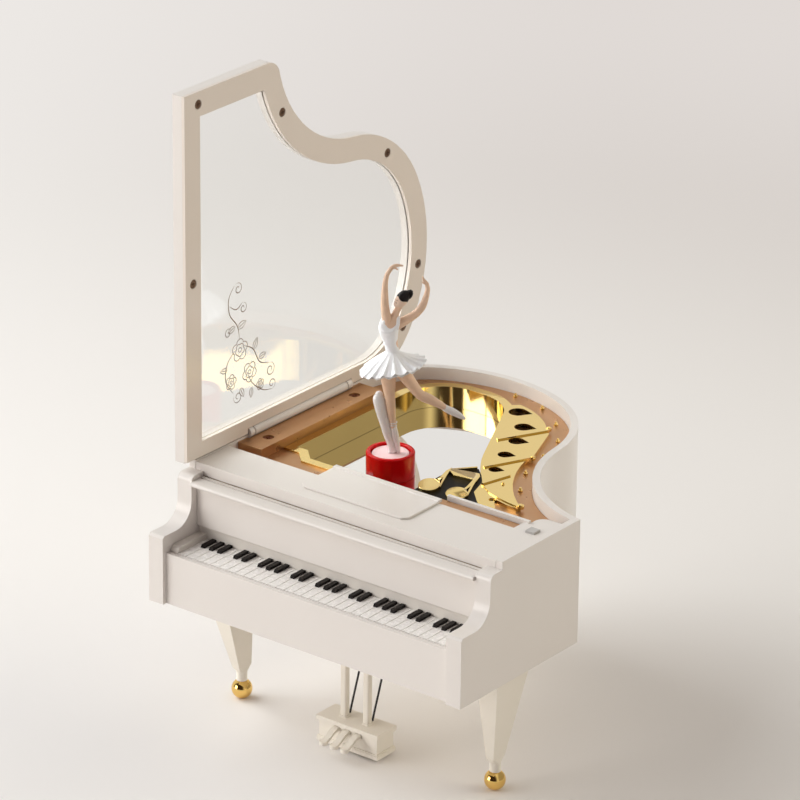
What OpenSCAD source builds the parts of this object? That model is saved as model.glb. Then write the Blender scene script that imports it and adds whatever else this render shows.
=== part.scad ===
// Wind-up music and jewellery box in the shape of a small grand piano.
// The lid stands open on its left hinge. A figure turns on a red drum above a mirror tray,
// and the pinned-cylinder movement that drives it hangs under the tray.

/* [Case] */
// Width of the case across the cheeks
case_w = 150; // [144:1:158]
// Length of the case from the front of the cheeks to the tail
case_l = 167.7; // [164:0.5:174]
// Height of the case side
case_h = 51; // [50:0.5:54]
// Thickness of the rim wall above the ledge
wall_t = 3; // [2.5:0.1:3.4]
// Width of the ledge that the soundboard rests on
ledge_w = 1.2; // [1:0.1:1.6]
// Radius of the rounded bass corner at the back left
corner_r = 36; // [34:0.5:38]
// Radius of the tail
back_r = 65; // [62:1:68]
// Radius of the shoulder after the tail
shoulder_r = 49.5; // [48:0.5:51]
// Radius of the hollow waist
waist_r = 53; // [50:0.5:56]
// Distance from the cheek front to the front end of the rim
rim_setback = 24.5; // [24:0.5:26]
// Radius of the round bosses inside the case
boss_r = 3.5; // [3:0.1:4]
// Thickness of the bottom plate
bottom_t = 2; // [1.6:0.1:2.4]

/* [Cheeks and keyboard] */
// Thickness of each cheek
cheek_t = 7; // [6:0.2:8]
// Height of the cheek arm above the case underside
arm_h = 28.4; // [28:0.2:30]
// Length of the flat top of the cheek arm
arm_l = 8; // [7:0.2:8.5]
// Radius of the hollow scroll of the cheek
scroll_r = 9.3; // [9:0.1:9.6]
// Depth of the cheek head top below the rim top
head_drop = 3.4; // [3:0.1:4]
// Setback of the key slip from the cheek front
slip_setback = 1.9; // [1.5:0.1:1.9]
// Thickness of the key slip
slip_t = 2; // [1.6:0.1:2]
// Height of the key slip
slip_h = 21.2; // [20.5:0.1:21.6]
// Number of white keys
white_count = 32; // [29:1:34]
// Height of the white key tops above the case underside
key_h = 21.3; // [20.8:0.1:21.8]
// Height of the black keys above the white ones
black_rise = 1.1; // [0.9:0.1:1.4]
// Length of a black key
black_l = 7.2; // [6.4:0.1:8]
// Width of a black key
black_w = 1.9; // [1.6:0.1:2.2]
// Width of the end block beside the keys
end_block_w = 3.8; // [3:0.1:4.5]
// Thickness of the fallboard
fall_t = 1.6; // [1.4:0.1:1.8]
// Height of the fallboard hinge above the case underside
fall_pivot_h = 27.4; // [27.2:0.1:28]
// Reach of the fallboard lip in front of the board
fall_lip = 4.4; // [4:0.1:4.6]
// Thickness of the fallboard lip
fall_lip_t = 1.8; // [1.5:0.1:2]

/* [Deck and soundboard] */
// Thickness of the soundboard
board_t = 1.6; // [1.4:0.1:1.8]
// Depth of the soundboard top below the rim top
board_drop = 5.2; // [5:0.1:5.6]
// Thickness of the front deck
deck_t = 2; // [1.6:0.1:2.4]
// Depth of the bass side of the deck behind its front edge
deck_d = 19.5; // [18:0.5:20]
// Width of the music desk
desk_w = 51; // [46:0.5:54]
// Depth of the music desk
desk_d = 20.5; // [18:0.5:21]
// Thickness of the music desk
desk_t = 0.8; // [0.6:0.1:0.9]
// Thickness of the gold harp plate
harp_t = 1; // [0.8:0.1:1.2]
// Distance from the case side to the edge of the harp plate
harp_inset = 12.2; // [11.6:0.1:12.6]
// Radius of the largest of the harp's sound holes
sound_hole_r = 3.7; // [3.2:0.1:3.9]

/* [Jewel tray] */
// Distance from the case side to the left wall of the tray
tray_left = 18.8; // [18.4:0.2:20]
// Distance from the cheek front to the front wall of the tray
tray_front = 61.5; // [61:0.5:63]
// Depth of the tray from its flange to the mirror
tray_depth = 8.9; // [8:0.1:9.4]
// Thickness of the tray wall and floor
tray_t = 1.2; // [1:0.1:1.4]
// Width of the tray flange
flange_w = 3.8; // [3.2:0.1:3.9]
// Thickness of the tray flange
flange_t = 0.8; // [0.6:0.1:1]
// Thickness of the mirror
mirror_t = 1; // [0.8:0.1:1.2]

/* [Lid] */
// Thickness of the whole lid
lid_t = 5.9; // [5.6:0.1:6.4]
// Thickness of the bezel that closes the lid from inside
bezel_t = 1.4; // [1.2:0.1:1.6]
// Thickness of the clear panel
panel_t = 1.4; // [1.2:0.1:1.6]
// Width of the lid frame round the clear panel
frame_w = 10; // [9:0.2:11]
// Overhang of the lid past the case
lid_over = 1; // [0.6:0.1:1.4]
// Distance from the cheek front to the lid's front edge
lid_front = 19; // [18.5:0.5:20]
// Radius of the lid's free corner at the waist
lid_corner_r = 7; // [5:0.5:8]
// Length of the lid's hinge barrel
barrel_l = 58; // [52:1:62]
// Radius of the hinge barrel
barrel_r = 2; // [1.8:0.05:2.1]
// Radius of the hinge pin
hinge_pin_r = 0.75; // [0.6:0.05:0.9]

/* [Legs and pedals] */
// Height from the surface to the case underside
leg_h = 53; // [50:0.5:56]
// Width of a leg at its top
leg_top_w = 10.2; // [9:0.2:10.8]
// Depth of a leg at its top, front to back
leg_top_d = 20; // [18:0.5:21]
// Width of a leg at its ankle
leg_ankle_w = 3.6; // [3.2:0.1:4.2]
// Depth of a leg at its ankle
leg_ankle_d = 7.4; // [6.8:0.1:8]
// Distance that the top of a front leg leans outward from its foot
leg_lean = 4.6; // [3.6:0.2:4.8]
// Distance that the top of a leg leans away from the middle of the case
leg_fore = 2.6; // [2:0.2:3]
// Radius of a ball foot
foot_r = 4.2; // [3.8:0.1:4.6]
// Distance between the two front legs
leg_span = 124; // [120:1:126]
// Distance from the cheek front to the front legs
leg_front = 40; // [38:0.5:44]
// Width of the pedal box
pedal_box_w = 30; // [28:0.5:34]
// Depth of the pedal box
pedal_box_d = 12; // [11:0.5:14]
// Height of the pedal box
pedal_box_h = 10.7; // [9.8:0.1:11.4]
// Distance between the lyre posts
lyre_span = 11; // [10:0.2:14]
// Width of a lyre post
lyre_post_w = 2.8; // [2.4:0.1:3.2]

/* [Drum and figure] */
// Radius of the red drum
drum_r = 9.6; // [9:0.1:10]
// Height of the red drum above the mirror
drum_h = 10; // [9.5:0.1:11]
// Radius of the turning disc in the drum
disc_r = 7.3; // [6.8:0.1:7.6]
// Distance from the case side to the drum centre
drum_left = 50.7; // [50:0.1:52]
// Distance from the cheek front to the drum centre
drum_front = 85.1; // [84:0.1:87]
// Height of the standing leg up to the waist
figure_waist_h = 37; // [36:0.5:38]
// Radius of the pleated skirt
tutu_r = 12.6; // [11.5:0.1:13]

/* [Movement] */
// Length of the bedplate
bed_l = 66; // [65:0.5:68]
// Width of the bedplate
bed_w = 40; // [38:0.5:42]
// Thickness of the bedplate
bed_t = 1.8; // [1.6:0.1:2]
// Radius of the spring housing
housing_r = 12.4; // [12:0.1:12.6]
// Height of the spring housing
housing_h = 9; // [8.5:0.1:9.2]
// Radius of the winding arbor
arbor_r = 1.6; // [1.4:0.05:1.8]
// Radius of the pinned cylinder
cylinder_r = 5.3; // [5:0.05:5.35]
// Length of the pinned cylinder
cylinder_l = 18; // [17:0.1:18.4]
// Number of comb teeth
comb_count = 18; // [15:1:18]
// Size of the gear teeth, pitch diameter over count
gear_m = 0.4; // [0.4:0.005:0.405]
// Width across the winding key
key_w = 22; // [18:0.5:26]

/* [Hidden] */

// Clearances
fit = 0.15;        // between a fixed piece and its seat
gap = 0.3;         // between pieces that move past each other
run = 0.05;        // radial, round a shaft that turns in a bore
eps = 0.01;        // overshoot of a cut
reach = 60;        // length that outruns the case in a cut

white = [0.93, 0.89, 0.86];
copper = [0.78, 0.52, 0.38];
gold = [0.86, 0.66, 0.28];
brass = [0.80, 0.66, 0.36];
steel = [0.72, 0.73, 0.75];
black = [0.10, 0.08, 0.08];
red = [0.75, 0.05, 0.05];
skin = [0.85, 0.62, 0.46];

// Heights
case_z = leg_h;
rim_z = case_z + case_h;
board_top = rim_z - board_drop;
board_z = board_top - board_t;
deck_top = rim_z - gap;
deck_z = deck_top - deck_t;
flange_top = board_top + flange_t;
mirror_top = flange_top - tray_depth;
mirror_z = mirror_top - mirror_t;
tray_z = mirror_z - tray_t;
bottom_top = case_z + bottom_t;
head_z = rim_z - head_drop;
slip_top = case_z + slip_h;
white_top = case_z + key_h;
black_top = white_top + black_rise;
fall_z = case_z + fall_pivot_h;

// Plan of the case: a clockwise trail of straight runs and tangent arcs
corner_turn = 62;
back_turn = 54;
shoulder_turn = 59;
waist_turn = 73.5;
arc_step = 5;
corner_heading = 90 - corner_turn;
back_heading = corner_heading - back_turn;
shoulder_heading = back_heading - shoulder_turn;
side_x = case_w / 2;
corner_y = case_l - back_r + (back_r - corner_r) * cos(corner_heading);

function right_of(heading) = [sin(heading), -cos(heading)];
function ahead(heading) = [cos(heading), sin(heading)];

corner_c = [-side_x + corner_r, corner_y];
back_c = corner_c + (back_r - corner_r) * right_of(corner_heading);
shoulder_c = back_c + (shoulder_r - back_r) * right_of(back_heading);
waist_c = shoulder_c - (shoulder_r + waist_r) * right_of(shoulder_heading);

// Points of a trail. A move is [run, radius, turn], and a positive turn bears right.
function trail(at, heading, moves, i = 0) =
    i == len(moves) ? [[at, heading]] :
    let (move = moves[i], side = sign(move[2]), centre = at + side * move[1] * right_of(heading))
    move[1] == 0
        ? concat([[at, heading]], trail(at + move[0] * ahead(heading), heading, moves, i + 1))
        : let (steps = ceil(abs(move[2]) / arc_step), last = heading - move[2])
          concat([for (k = [0 : steps - 1]) let (now = heading - move[2] * k / steps)
                  [centre - side * move[1] * right_of(now), now]],
              trail(centre - side * move[1] * right_of(last), last, moves, i + 1));

// The same trail moved to its right by an inset
function inset_trail(path, inset) = [for (stop = path) stop[0] + inset * right_of(stop[1])];

case_trail = trail([-side_x, rim_setback], 90, [
    [corner_y - rim_setback, 0, 0],
    [0, corner_r, corner_turn],
    [0, back_r, back_turn],
    [0, shoulder_r, shoulder_turn],
    [0, waist_r, -waist_turn],
    [reach, 0, 0]]);

// Area inside the case side, inset all round and cut off square at the front
module case_plan(inset, front) {
    points = inset_trail(case_trail, inset);
    last = points[len(points) - 1];
    intersection() {
        polygon(concat([[points[0].x, front]], points, [[last.x, front]]));
        translate([-side_x + inset, front]) square([case_w - 2 * inset, case_l]);
    }
}

// Plan of the tray
tray_x = -side_x + tray_left;
tray_corner_r = 18.5;
tray_back = case_l - 13.2;
tray_shoulder_r = 21;
tray_notch = 5.8;
tray_notch_w = 5.2;
tray_shoulder_turn = 64;
tray_waist_r = 60;
tray_waist_turn = 14;
tray_trail = trail([tray_x, tray_front + tray_notch], 90, [
    [tray_back - tray_corner_r - tray_front - tray_notch, 0, 0],
    [0, tray_corner_r, 90],
    [6, 0, 0],
    [0, tray_shoulder_r, tray_shoulder_turn],
    [42, 0, 0],
    [0, tray_waist_r, -tray_waist_turn],
    [reach, 0, 0]]);

module tray_plan(inset) {
    points = inset_trail(tray_trail, inset);
    last = points[len(points) - 1];
    front = tray_front + inset;
    notch_x = tray_x + tray_notch_w;
    intersection() {
        polygon(concat(points, [[last.x, front], [notch_x + tray_notch + inset * tan(22.5), front],
            [notch_x + inset * tan(22.5), front + tray_notch],
            [tray_x + inset, front + tray_notch]]));
        translate([tray_x + inset, front]) square([case_w, case_l]);
    }
}

// Hinge of the lid
hinge_x = -side_x + 2.7;
hinge_z = rim_z + 0.8;
barrel_y = 88 - barrel_l / 2;
lug_l = 3;
lid_edge_x = hinge_x - 0.6;
pin_l = barrel_l + 2 * lug_l;

// Whole footprint at rest, with the lid open
low_x = hinge_x - (rim_z + lid_t - hinge_z);
mid_x = (low_x + side_x) / 2;
mid_y = (case_l + lid_over) / 2;

module placed() {
    translate([-mid_x, -mid_y, 0]) children();
}

module rod(from, to, r) {
    run_v = to - from;
    length = norm(run_v);
    translate(from) rotate([0, acos(run_v.z / length), atan2(run_v.y, run_v.x)])
        cylinder(h = length, r = r, $fn = 32);
}

module pan_screw(head_r, head_h, shank_r, shank_l) {
    difference() {
        cylinder(h = head_h, r = head_r, $fn = 32);
        for (turn = [0, 90]) rotate([0, 0, turn])
            translate([-head_r * 0.65, -head_r * 0.14, head_h * 0.5])
                cube([head_r * 1.3, head_r * 0.28, head_h]);
    }
    translate([0, 0, -shank_l]) cylinder(h = shank_l, r = shank_r, $fn = 24);
}

// ---------- case ----------

boss_bite = 1;
boss_in = wall_t + ledge_w + boss_r - boss_bite;
bosses = [
    [-side_x + boss_in, rim_setback + 5],
    [side_x - boss_in, rim_setback + 5],
    [-side_x + boss_in, corner_y - 6],
    [back_c.x, case_l - boss_in],
    shoulder_c + (shoulder_r - boss_in) * ahead(12)];
boss_bore_r = 1.1;
screw_r = boss_bore_r - run;
rail_t = 2;
bed_floor_t = 2;
bed_floor_z = case_z + 16.5;
key_front = slip_setback + slip_t + 0.5;
fall_y = rim_setback - 3.3;
fall_pin_r = 0.8;
fall_pin_l = 2.6;
inner_x = side_x - cheek_t;

// Side view of a cheek: a flat arm, a hollow scroll and an upright head
module cheek_profile() {
    arm_z = case_z + arm_h;
    head_y = arm_l + scroll_r;
    nose_r = 2.6;
    difference() {
        polygon([[0, case_z], [0, arm_z - 1], [1, arm_z], [arm_l, arm_z],
            for (a = [10 : 10 : 90]) [arm_l + scroll_r * sin(a), arm_z + scroll_r * (1 - cos(a))],
            [head_y, head_z - nose_r],
            for (a = [15 : 15 : 90]) [head_y + nose_r * (1 - cos(a)), head_z - nose_r * (1 - sin(a))],
            [rim_setback, head_z], [rim_setback, case_z]]);
    }
}

module cheek() {
    translate([inner_x, 0, 0]) rotate([90, 0, 90]) linear_extrude(cheek_t) cheek_profile();
}

module hinge_lugs() {
    for (y = [barrel_y - lug_l, barrel_y + barrel_l])
        translate([hinge_x, y, hinge_z]) rotate([-90, 0, 0])
            cylinder(h = lug_l - gap, r = barrel_r, $fn = 48);
}

module case() {
    color(white) placed() difference() {
        union() {
            difference() {
                translate([0, 0, case_z]) linear_extrude(case_h) case_plan(0, rim_setback);
                translate([0, 0, board_z]) linear_extrude(case_h)
                    case_plan(wall_t, rim_setback - 1);
                translate([0, 0, case_z - 1]) linear_extrude(board_z - case_z + 1 + eps)
                    case_plan(wall_t + ledge_w, rim_setback - 1);
            }
            cheek();
            mirror([1, 0, 0]) cheek();
            translate([-inner_x, slip_setback, case_z]) cube([2 * inner_x, slip_t, slip_h]);
            for (side = [0, 1]) mirror([side, 0, 0])
                translate([inner_x - rail_t, slip_setback + slip_t, bed_floor_z - rail_t])
                    cube([rail_t, rim_setback - slip_setback - slip_t, rail_t]);
            for (at = bosses) translate([at.x, at.y, bottom_top])
                cylinder(h = board_z - bottom_top, r = boss_r, $fn = 48);
            translate([0, gap, 0]) hinge_lugs();
        }
        for (at = bosses) translate([at.x, at.y, bottom_top - 1])
            cylinder(h = 13, r = boss_bore_r, $fn = 32);
        translate([hinge_x, barrel_y - gap, hinge_z]) rotate([-90, 0, 0])
            cylinder(h = barrel_l + 2 * gap, r = barrel_r + gap, $fn = 48);
        translate([hinge_x, barrel_y - lug_l - 1, hinge_z]) rotate([-90, 0, 0])
            cylinder(h = pin_l + 2, r = hinge_pin_r + 0.02, $fn = 32);
        for (side = [-1, 1]) translate([side * (inner_x - 1), fall_y, fall_z])
            rotate([0, side * 90, 0]) cylinder(h = fall_pin_l + 1.4, r = fall_pin_r + run, $fn = 32);
        for (at = leg_screw_places) translate([at.x, at.y, case_z - 1])
            cylinder(h = bottom_t + 3, r = leg_screw_head_r + 0.2, $fn = 40);
    }
}

// ---------- bottom plate ----------

key_hole_r = 3;
drum_x = -side_x + drum_left;
drum_y = drum_front;
bed_z = bottom_top + 3.2;
bed_x = drum_x + 16;
bed_y = drum_y + 1;
bed_screws = [for (i = [-1, 1], j = [-1, 1]) [bed_x + i * (bed_l / 2 - 3.5), bed_y + j * (bed_w / 2 - 3.5)]];
leg_places = [[-leg_span / 2, leg_front], [leg_span / 2, leg_front], [back_c.x, case_l - 38]];
leg_leans = [[-leg_lean, -leg_fore], [leg_lean, -leg_fore], [0, leg_fore]];
leg_screw_places = leg_places + leg_leans;
leg_screw_head_r = 2.6;
bottom_head_r = 2.2;
bottom_sink = 1.2;
lyre_y = 33.7;
lyre_peg_r = 1;

module bottom_plate() {
    color(white) placed() translate([0, 0, case_z]) difference() {
        union() {
            linear_extrude(bottom_t) case_plan(wall_t + ledge_w + fit, rim_setback);
            translate([-inner_x + fit, slip_setback + slip_t + fit, 0])
                cube([2 * (inner_x - fit), rim_setback - slip_setback - slip_t, bottom_t]);
            for (at = bed_screws) translate([at.x, at.y, 0])
                cylinder(h = bed_z - case_z, r = 3.2, $fn = 40);
        }
        for (at = bosses) translate([at.x, at.y, -1]) {
            cylinder(h = bottom_t + 2, r = 1.4, $fn = 32);
            cylinder(h = bottom_sink + 1, r = bottom_head_r + 0.2, $fn = 40);
        }
        for (at = bed_screws) translate([at.x, at.y, -1]) cylinder(h = 8, r = 1.1, $fn = 32);
        for (at = leg_screw_places) translate([at.x, at.y, -1])
            cylinder(h = bottom_t + 2, r = 1.6, $fn = 32);
        translate([drum_x, drum_y, -1]) cylinder(h = bottom_t + 2, r = key_hole_r, $fn = 48);
        for (side = [-1, 1]) translate([side * lyre_span / 2, lyre_y, -1])
            cylinder(h = bottom_t + 2, r = lyre_peg_r + run, $fn = 32);
    }
}

module bottom_screws() {
    color(steel) placed() for (at = bosses)
        translate([at.x, at.y, case_z + bottom_sink]) rotate([180, 0, 0])
            pan_screw(bottom_head_r, bottom_sink - 0.1, screw_r, 10);
}

// ---------- keyboard ----------

bed_back_t = 1.6;
bed_back_y = rim_setback - bed_back_t - 0.3;
key_floor = bed_floor_z + bed_floor_t;
keys_x = inner_x - fit - end_block_w;
batten_t = 1.2;
batten_top = fall_z - 1.5;
keys_back = bed_back_y - batten_t - 0.2;
key_pitch = 2 * (keys_x - fit) / white_count;
groove_w = 0.35;
groove_d = 1.3;

module key_bed() {
    w = inner_x - fit;
    color(white) placed() {
        translate([-w, slip_setback + slip_t + fit, bed_floor_z])
            cube([2 * w, bed_back_y + bed_back_t - slip_setback - slip_t - fit, bed_floor_t]);
        translate([-w, bed_back_y, key_floor]) cube([2 * w, bed_back_t, board_top - key_floor]);
        translate([-w, bed_back_y - batten_t, key_floor])
            cube([2 * w, batten_t + 0.1, batten_top - key_floor]);
        for (side = [0, 1]) mirror([side, 0, 0])
            translate([keys_x, key_front, key_floor]) rotate([90, 0, 90])
                linear_extrude(end_block_w) polygon([[0, 0], [0, white_top - key_floor],
                    [0.8, black_top - key_floor + 0.6], [2.2, black_top - key_floor + 1.2],
                    [bed_back_y - key_front, black_top - key_floor + 1.2], [bed_back_y - key_front, 0]]);
    }
}

module white_keys() {
    color([0.96, 0.93, 0.90]) placed() difference() {
        translate([-keys_x + fit, key_front, key_floor])
            cube([2 * (keys_x - fit), keys_back - key_front, white_top - key_floor]);
        for (i = [1 : white_count - 1])
            translate([-keys_x + fit + i * key_pitch - groove_w / 2, key_front - 1, white_top - groove_d])
                cube([groove_w, keys_back - key_front + 2, groove_d + 1]);
        translate([-keys_x, key_front - eps, key_floor - eps])
            cube([2 * keys_x, 0.5, white_top - key_floor - 1.8]);
    }
}

// Black keys follow F, G, A, C and D of each octave that starts on F
octave = [1, 1, 1, 0, 1, 1, 0];

module black_keys() {
    length = black_l;
    color(black) placed() for (i = [1 : white_count - 1]) if (octave[(i - 1) % len(octave)] == 1)
        translate([-keys_x + fit + i * key_pitch - black_w / 2, keys_back - length, white_top - groove_d])
            difference() {
                union() {
                    rotate([90, 0, 90]) linear_extrude(black_w) polygon([[0, groove_d],
                        [0.7, groove_d + black_rise], [length, groove_d + black_rise],
                        [length, groove_d]]);
                    translate([(black_w - groove_w) / 2 + 0.03, 0.5, 0.1])
                        cube([groove_w - 0.06, length - 0.5, groove_d + 0.2]);
                }
            }
}

module fallboard() {
    w = inner_x - 0.2;
    top = head_z - 1.9;
    color(white) placed() {
        translate([-w, fall_y - fall_t / 2, fall_z - 0.8]) cube([2 * w, fall_t, top - fall_z + 0.8]);
        translate([-w, fall_y - fall_t / 2 - fall_lip, top - fall_lip_t]) rotate([90, 0, 90])
            linear_extrude(2 * w) union() {
                translate([fall_lip_t / 2, 0]) square([fall_lip, fall_lip_t]);
                translate([fall_lip_t / 2, fall_lip_t / 2]) circle(r = fall_lip_t / 2, $fn = 32);
            }
        for (side = [-1, 1]) translate([side * (w - 0.5), fall_y, fall_z]) rotate([0, side * 90, 0])
            cylinder(h = fall_pin_l + 0.5, r = fall_pin_r, $fn = 32);
    }
}

// ---------- deck, desk and soundboard ----------

deck_w = side_x - wall_t - fit;
deck_back = rim_setback + deck_d;
desk_x = -desk_w / 2 - 0.8;
desk_front = rim_setback + 6.5;
lip_w = 2.4;
lip_y = desk_front + desk_d;
bar_back = tray_front - 1.8;
bar_w = 1.5;
bar_z = flange_top + harp_t;
groove_front = bar_back - 7.7;
bar_end = deck_w - 9.8;
slot_x = desk_x + desk_w - 3;
slot_end = bar_end - 2.4;
slot_back = bar_back - bar_w;
rib_drop = 0.9;
rib_back = min(slot_back, tray_front - flange_w) - fit;
plunger_w = 4;
plunger_at = [deck_w - 4.5, rim_setback + 29];
tab_back = rim_setback + 41.5;
tab_r = 4;

module deck_plan() {
    polygon(concat([[-deck_w, rim_setback], [deck_w, rim_setback], [deck_w, tab_back]],
        [for (a = [90 : 15 : 180]) [bar_end + tab_r, tab_back - tab_r] + tab_r * ahead(a)],
        [[bar_end, bar_back], [desk_x + desk_w, bar_back],
        [desk_x + desk_w, lip_y + lip_w], [desk_x, lip_y + lip_w], [desk_x, deck_back],
        [-deck_w, deck_back]]));
}

module front_board() {
    color(white) placed() difference() {
        union() {
            translate([0, 0, deck_z]) linear_extrude(deck_t) deck_plan();
            translate([-deck_w, rim_setback, board_top]) cube([2 * deck_w, 2, deck_z - board_top + eps]);
            for (side = [0, 1]) mirror([side, 0, 0])
                translate([deck_w - 1.6, rim_setback, board_top])
                    cube([1.6, deck_d, deck_z - board_top + eps]);
            translate([-deck_w, deck_back - 1.6, board_top])
                cube([deck_w + desk_x, 1.6, deck_z - board_top + eps]);
            translate([desk_x, lip_y + lip_w - 1.6, board_top])
                cube([desk_w, 1.6, deck_z - board_top + eps]);
            translate([desk_x + desk_w - 1, slot_back, bar_z])
                cube([bar_end - desk_x - desk_w + 1, bar_w, deck_top + 0.9 - bar_z]);
            translate([plunger_at.x, plunger_at.y, board_top])
                cylinder(h = deck_z - board_top + eps, r = 3.6, $fn = 40);
        }
        translate([slot_x, groove_front, board_top - 1])
            cube([slot_end - slot_x, slot_back - groove_front, 2 * board_drop]);
        translate([plunger_at.x - plunger_w / 2 - 0.1, plunger_at.y - plunger_w / 2 - 0.1, board_top - 1])
            cube([plunger_w + 0.2, plunger_w + 0.2, 2 * board_drop]);
    }
}

module music_desk() {
    cut = 2.2;
    color(white) placed() {
        translate([desk_x, desk_front, deck_top]) linear_extrude(desk_t)
            polygon([[cut, 0], [desk_w - cut, 0], [desk_w, cut], [desk_w, desk_d], [0, desk_d], [0, cut]]);
        translate([desk_x, lip_y, deck_top]) cube([desk_w, lip_w, 1.3]);
    }
}

// Board with a raised rib that fills the slot in the deck
module soundboard() {
    color(copper) placed() translate([0, 0, board_z]) difference() {
        union() {
            linear_extrude(board_t) difference() {
                case_plan(wall_t + fit, rim_setback + 0.4);
                tray_plan(-tray_t - fit);
                sound_holes();
            }
            translate([slot_x + fit, groove_front + fit, board_t - 0.5])
                cube([slot_end - slot_x - 2 * fit, rib_back - groove_front - fit,
                    deck_top - rib_drop - board_top + 0.5]);
        }
        translate([plunger_at.x, plunger_at.y, -1]) cylinder(h = board_t + 2, r = stem_r + run, $fn = 40);
        for (y = cover_screw_y) translate([cover_screw_x, y, -1])
            cylinder(h = board_t + 2, r = 0.9, $fn = 24);
    }
}

// ---------- tray and harp ----------

spindle_r = 1.5;

module well_liner() {
    color(gold) placed() difference() {
        union() {
            translate([0, 0, board_top]) linear_extrude(flange_t) difference() {
                tray_plan(-flange_w);
                sound_holes();
            }
            translate([0, 0, tray_z]) linear_extrude(board_top - tray_z + eps) tray_plan(-tray_t);
        }
        translate([0, 0, mirror_z]) linear_extrude(tray_depth + mirror_t + 1) tray_plan(0);
        translate([drum_x, drum_y, tray_z - 1]) cylinder(h = tray_t + 2, r = spindle_r + 0.5, $fn = 40);
        for (turn = [45 : 90 : 315]) translate([drum_x, drum_y, tray_z - 1]) rotate([0, 0, turn])
            translate([drum_r - 1.6, 0, 0]) cylinder(h = tray_t + 2, r = 0.6, $fn = 24);
    }
}

module mirror_glass() {
    color([0.85, 0.87, 0.88]) placed() translate([0, 0, mirror_z]) difference() {
        linear_extrude(mirror_t) tray_plan(fit);
        translate([drum_x, drum_y, -1]) cylinder(h = mirror_t + 2, r = spindle_r + 0.5, $fn = 40);
    }
}

harp_z = flange_top;
step_t = harp_t - 0.4;
rib_w = 1.2;
rib_h = 0.6;
harp_waist_r = waist_r + harp_inset - 1.8;
prong_turn = asin(min((waist_c.y - tray_front - 12.4) / harp_waist_r, sin(56)));
prong_tip = waist_c - harp_waist_r * ahead(prong_turn);

// Sound holes as [place from the shoulder centre, share of the largest radius]
hole_places = [[[9.8, 30.3], 1], [[20.3, 19.5], 0.93], [[26.5, 6.9], 0.86], [[30.8, -6.5], 0.76],
    [[36.4, -20.4], 0.66]];
ribs = [[shoulder_c + [20, 2.9], shoulder_c + [30.2, 22.5]],
    [shoulder_c + [31.9, -21.5], shoulder_c + [41, -2.6]],
    [prong_tip + [-24.4, 8.2], prong_tip + [-21, 20.8]]];
knobs = [[shoulder_c + [29.4, 24.2], 1.1], [shoulder_c + [41.2, -2.4], 1.1], [prong_tip + [-0.6, 0.5], 1.5],
    [prong_tip + [-18.3, 13.3], 0.6]];

// A round hole drawn out to a point
module teardrop(r, point_heading) {
    tip = 1.62 * r;
    tangent = acos(r / tip);
    rotate([0, 0, point_heading]) polygon(concat([[tip, 0]],
        [for (k = [0 : 24]) r * ahead(tangent + (360 - 2 * tangent) * k / 24)]));
}

module sound_holes() {
    for (hole = hole_places) translate(shoulder_c + hole[0]) teardrop(sound_hole_r * hole[1], 20);
}

// Upper face of the harp: it follows the shoulder and the waist of the case at an inset,
// and its front edge runs from the prong to the wall of the tray
module harp_plan() {
    difference() {
        polygon(concat([shoulder_c + [2.9, 29.8], shoulder_c + [3.8, 34.5]],
            [for (turn = [80 : -5 : 40]) shoulder_c + (shoulder_r - harp_inset) * ahead(turn)],
            [shoulder_c + [32.3, 20.4], shoulder_c + [40.7, -1.5]],
            [for (k = [0 : 8]) waist_c - harp_waist_r * ahead(14 + (prong_turn - 14) * k / 8)],
            [for (p = [[-5.7, 0.6], [-12.8, 2.1], [-17.1, 3.4], [-22.8, 7.2], [-40, 22]]) prong_tip + p],
            [shoulder_c + [-5, 20]]));
        tray_plan(-0.1);
        sound_holes();
    }
}

// Lower step in front of the harp, with the hook and the tongue that runs under the front bar
module harp_step_plan() {
    intersection() {
        polygon([for (p = [[0, 0], [-1.7, -0.7], [-5.7, -0.8], [-10.3, 0.2], [-13.7, 1.2], [-14.9, 0.5],
            [-14.6, -0.9], [-11.3, -3.8], [-7.1, -7.5], [23.9, -34.8], [20.1, -38.5], [-10.9, -10.5],
            [-17.1, -4.9], [-23, 1.1], [-25.9, 10.1], [-22, 8.5], [-16.5, 5], [-12, 3.6], [-2, 1.8]])
            prong_tip + p]);
        translate([-case_w, tray_front - 2]) square([2 * case_w, case_l]);
    }
}

module harp_plate() {
    color(gold) placed() {
        difference() {
            translate([0, 0, board_top]) {
                linear_extrude(flange_t + harp_t) harp_plan();
                linear_extrude(flange_t + step_t) harp_step_plan();
            }
            translate([0, 0, board_top - 1]) linear_extrude(1 + flange_t) tray_plan(-flange_w - fit);
        }
        for (rib = ribs) translate([0, 0, harp_z + step_t / 2]) linear_extrude(harp_t - step_t / 2 + rib_h)
            rib_plan(rib[0], rib[1]);
        for (knob = knobs) translate([knob[0].x, knob[0].y, harp_z + step_t / 2]) {
            cylinder(h = harp_t - step_t / 2 + 0.5, r = knob[1], $fn = 32);
            cylinder(h = harp_t - step_t / 2 + 0.9, r = knob[1] * 0.6, $fn = 32);
        }
    }
}

// A straight bar with a round far end
module rib_plan(from, to) {
    along = (to - from) / norm(to - from);
    heading = atan2(along.y, along.x);
    polygon(concat([from + rib_w / 2 * ahead(heading + 90)], [from + rib_w / 2 * ahead(heading - 90)],
        [for (k = [0 : 12]) to + rib_w / 2 * ahead(heading - 90 + 15 * k)]));
}

pin_inset = wall_t + 4.4;

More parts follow.
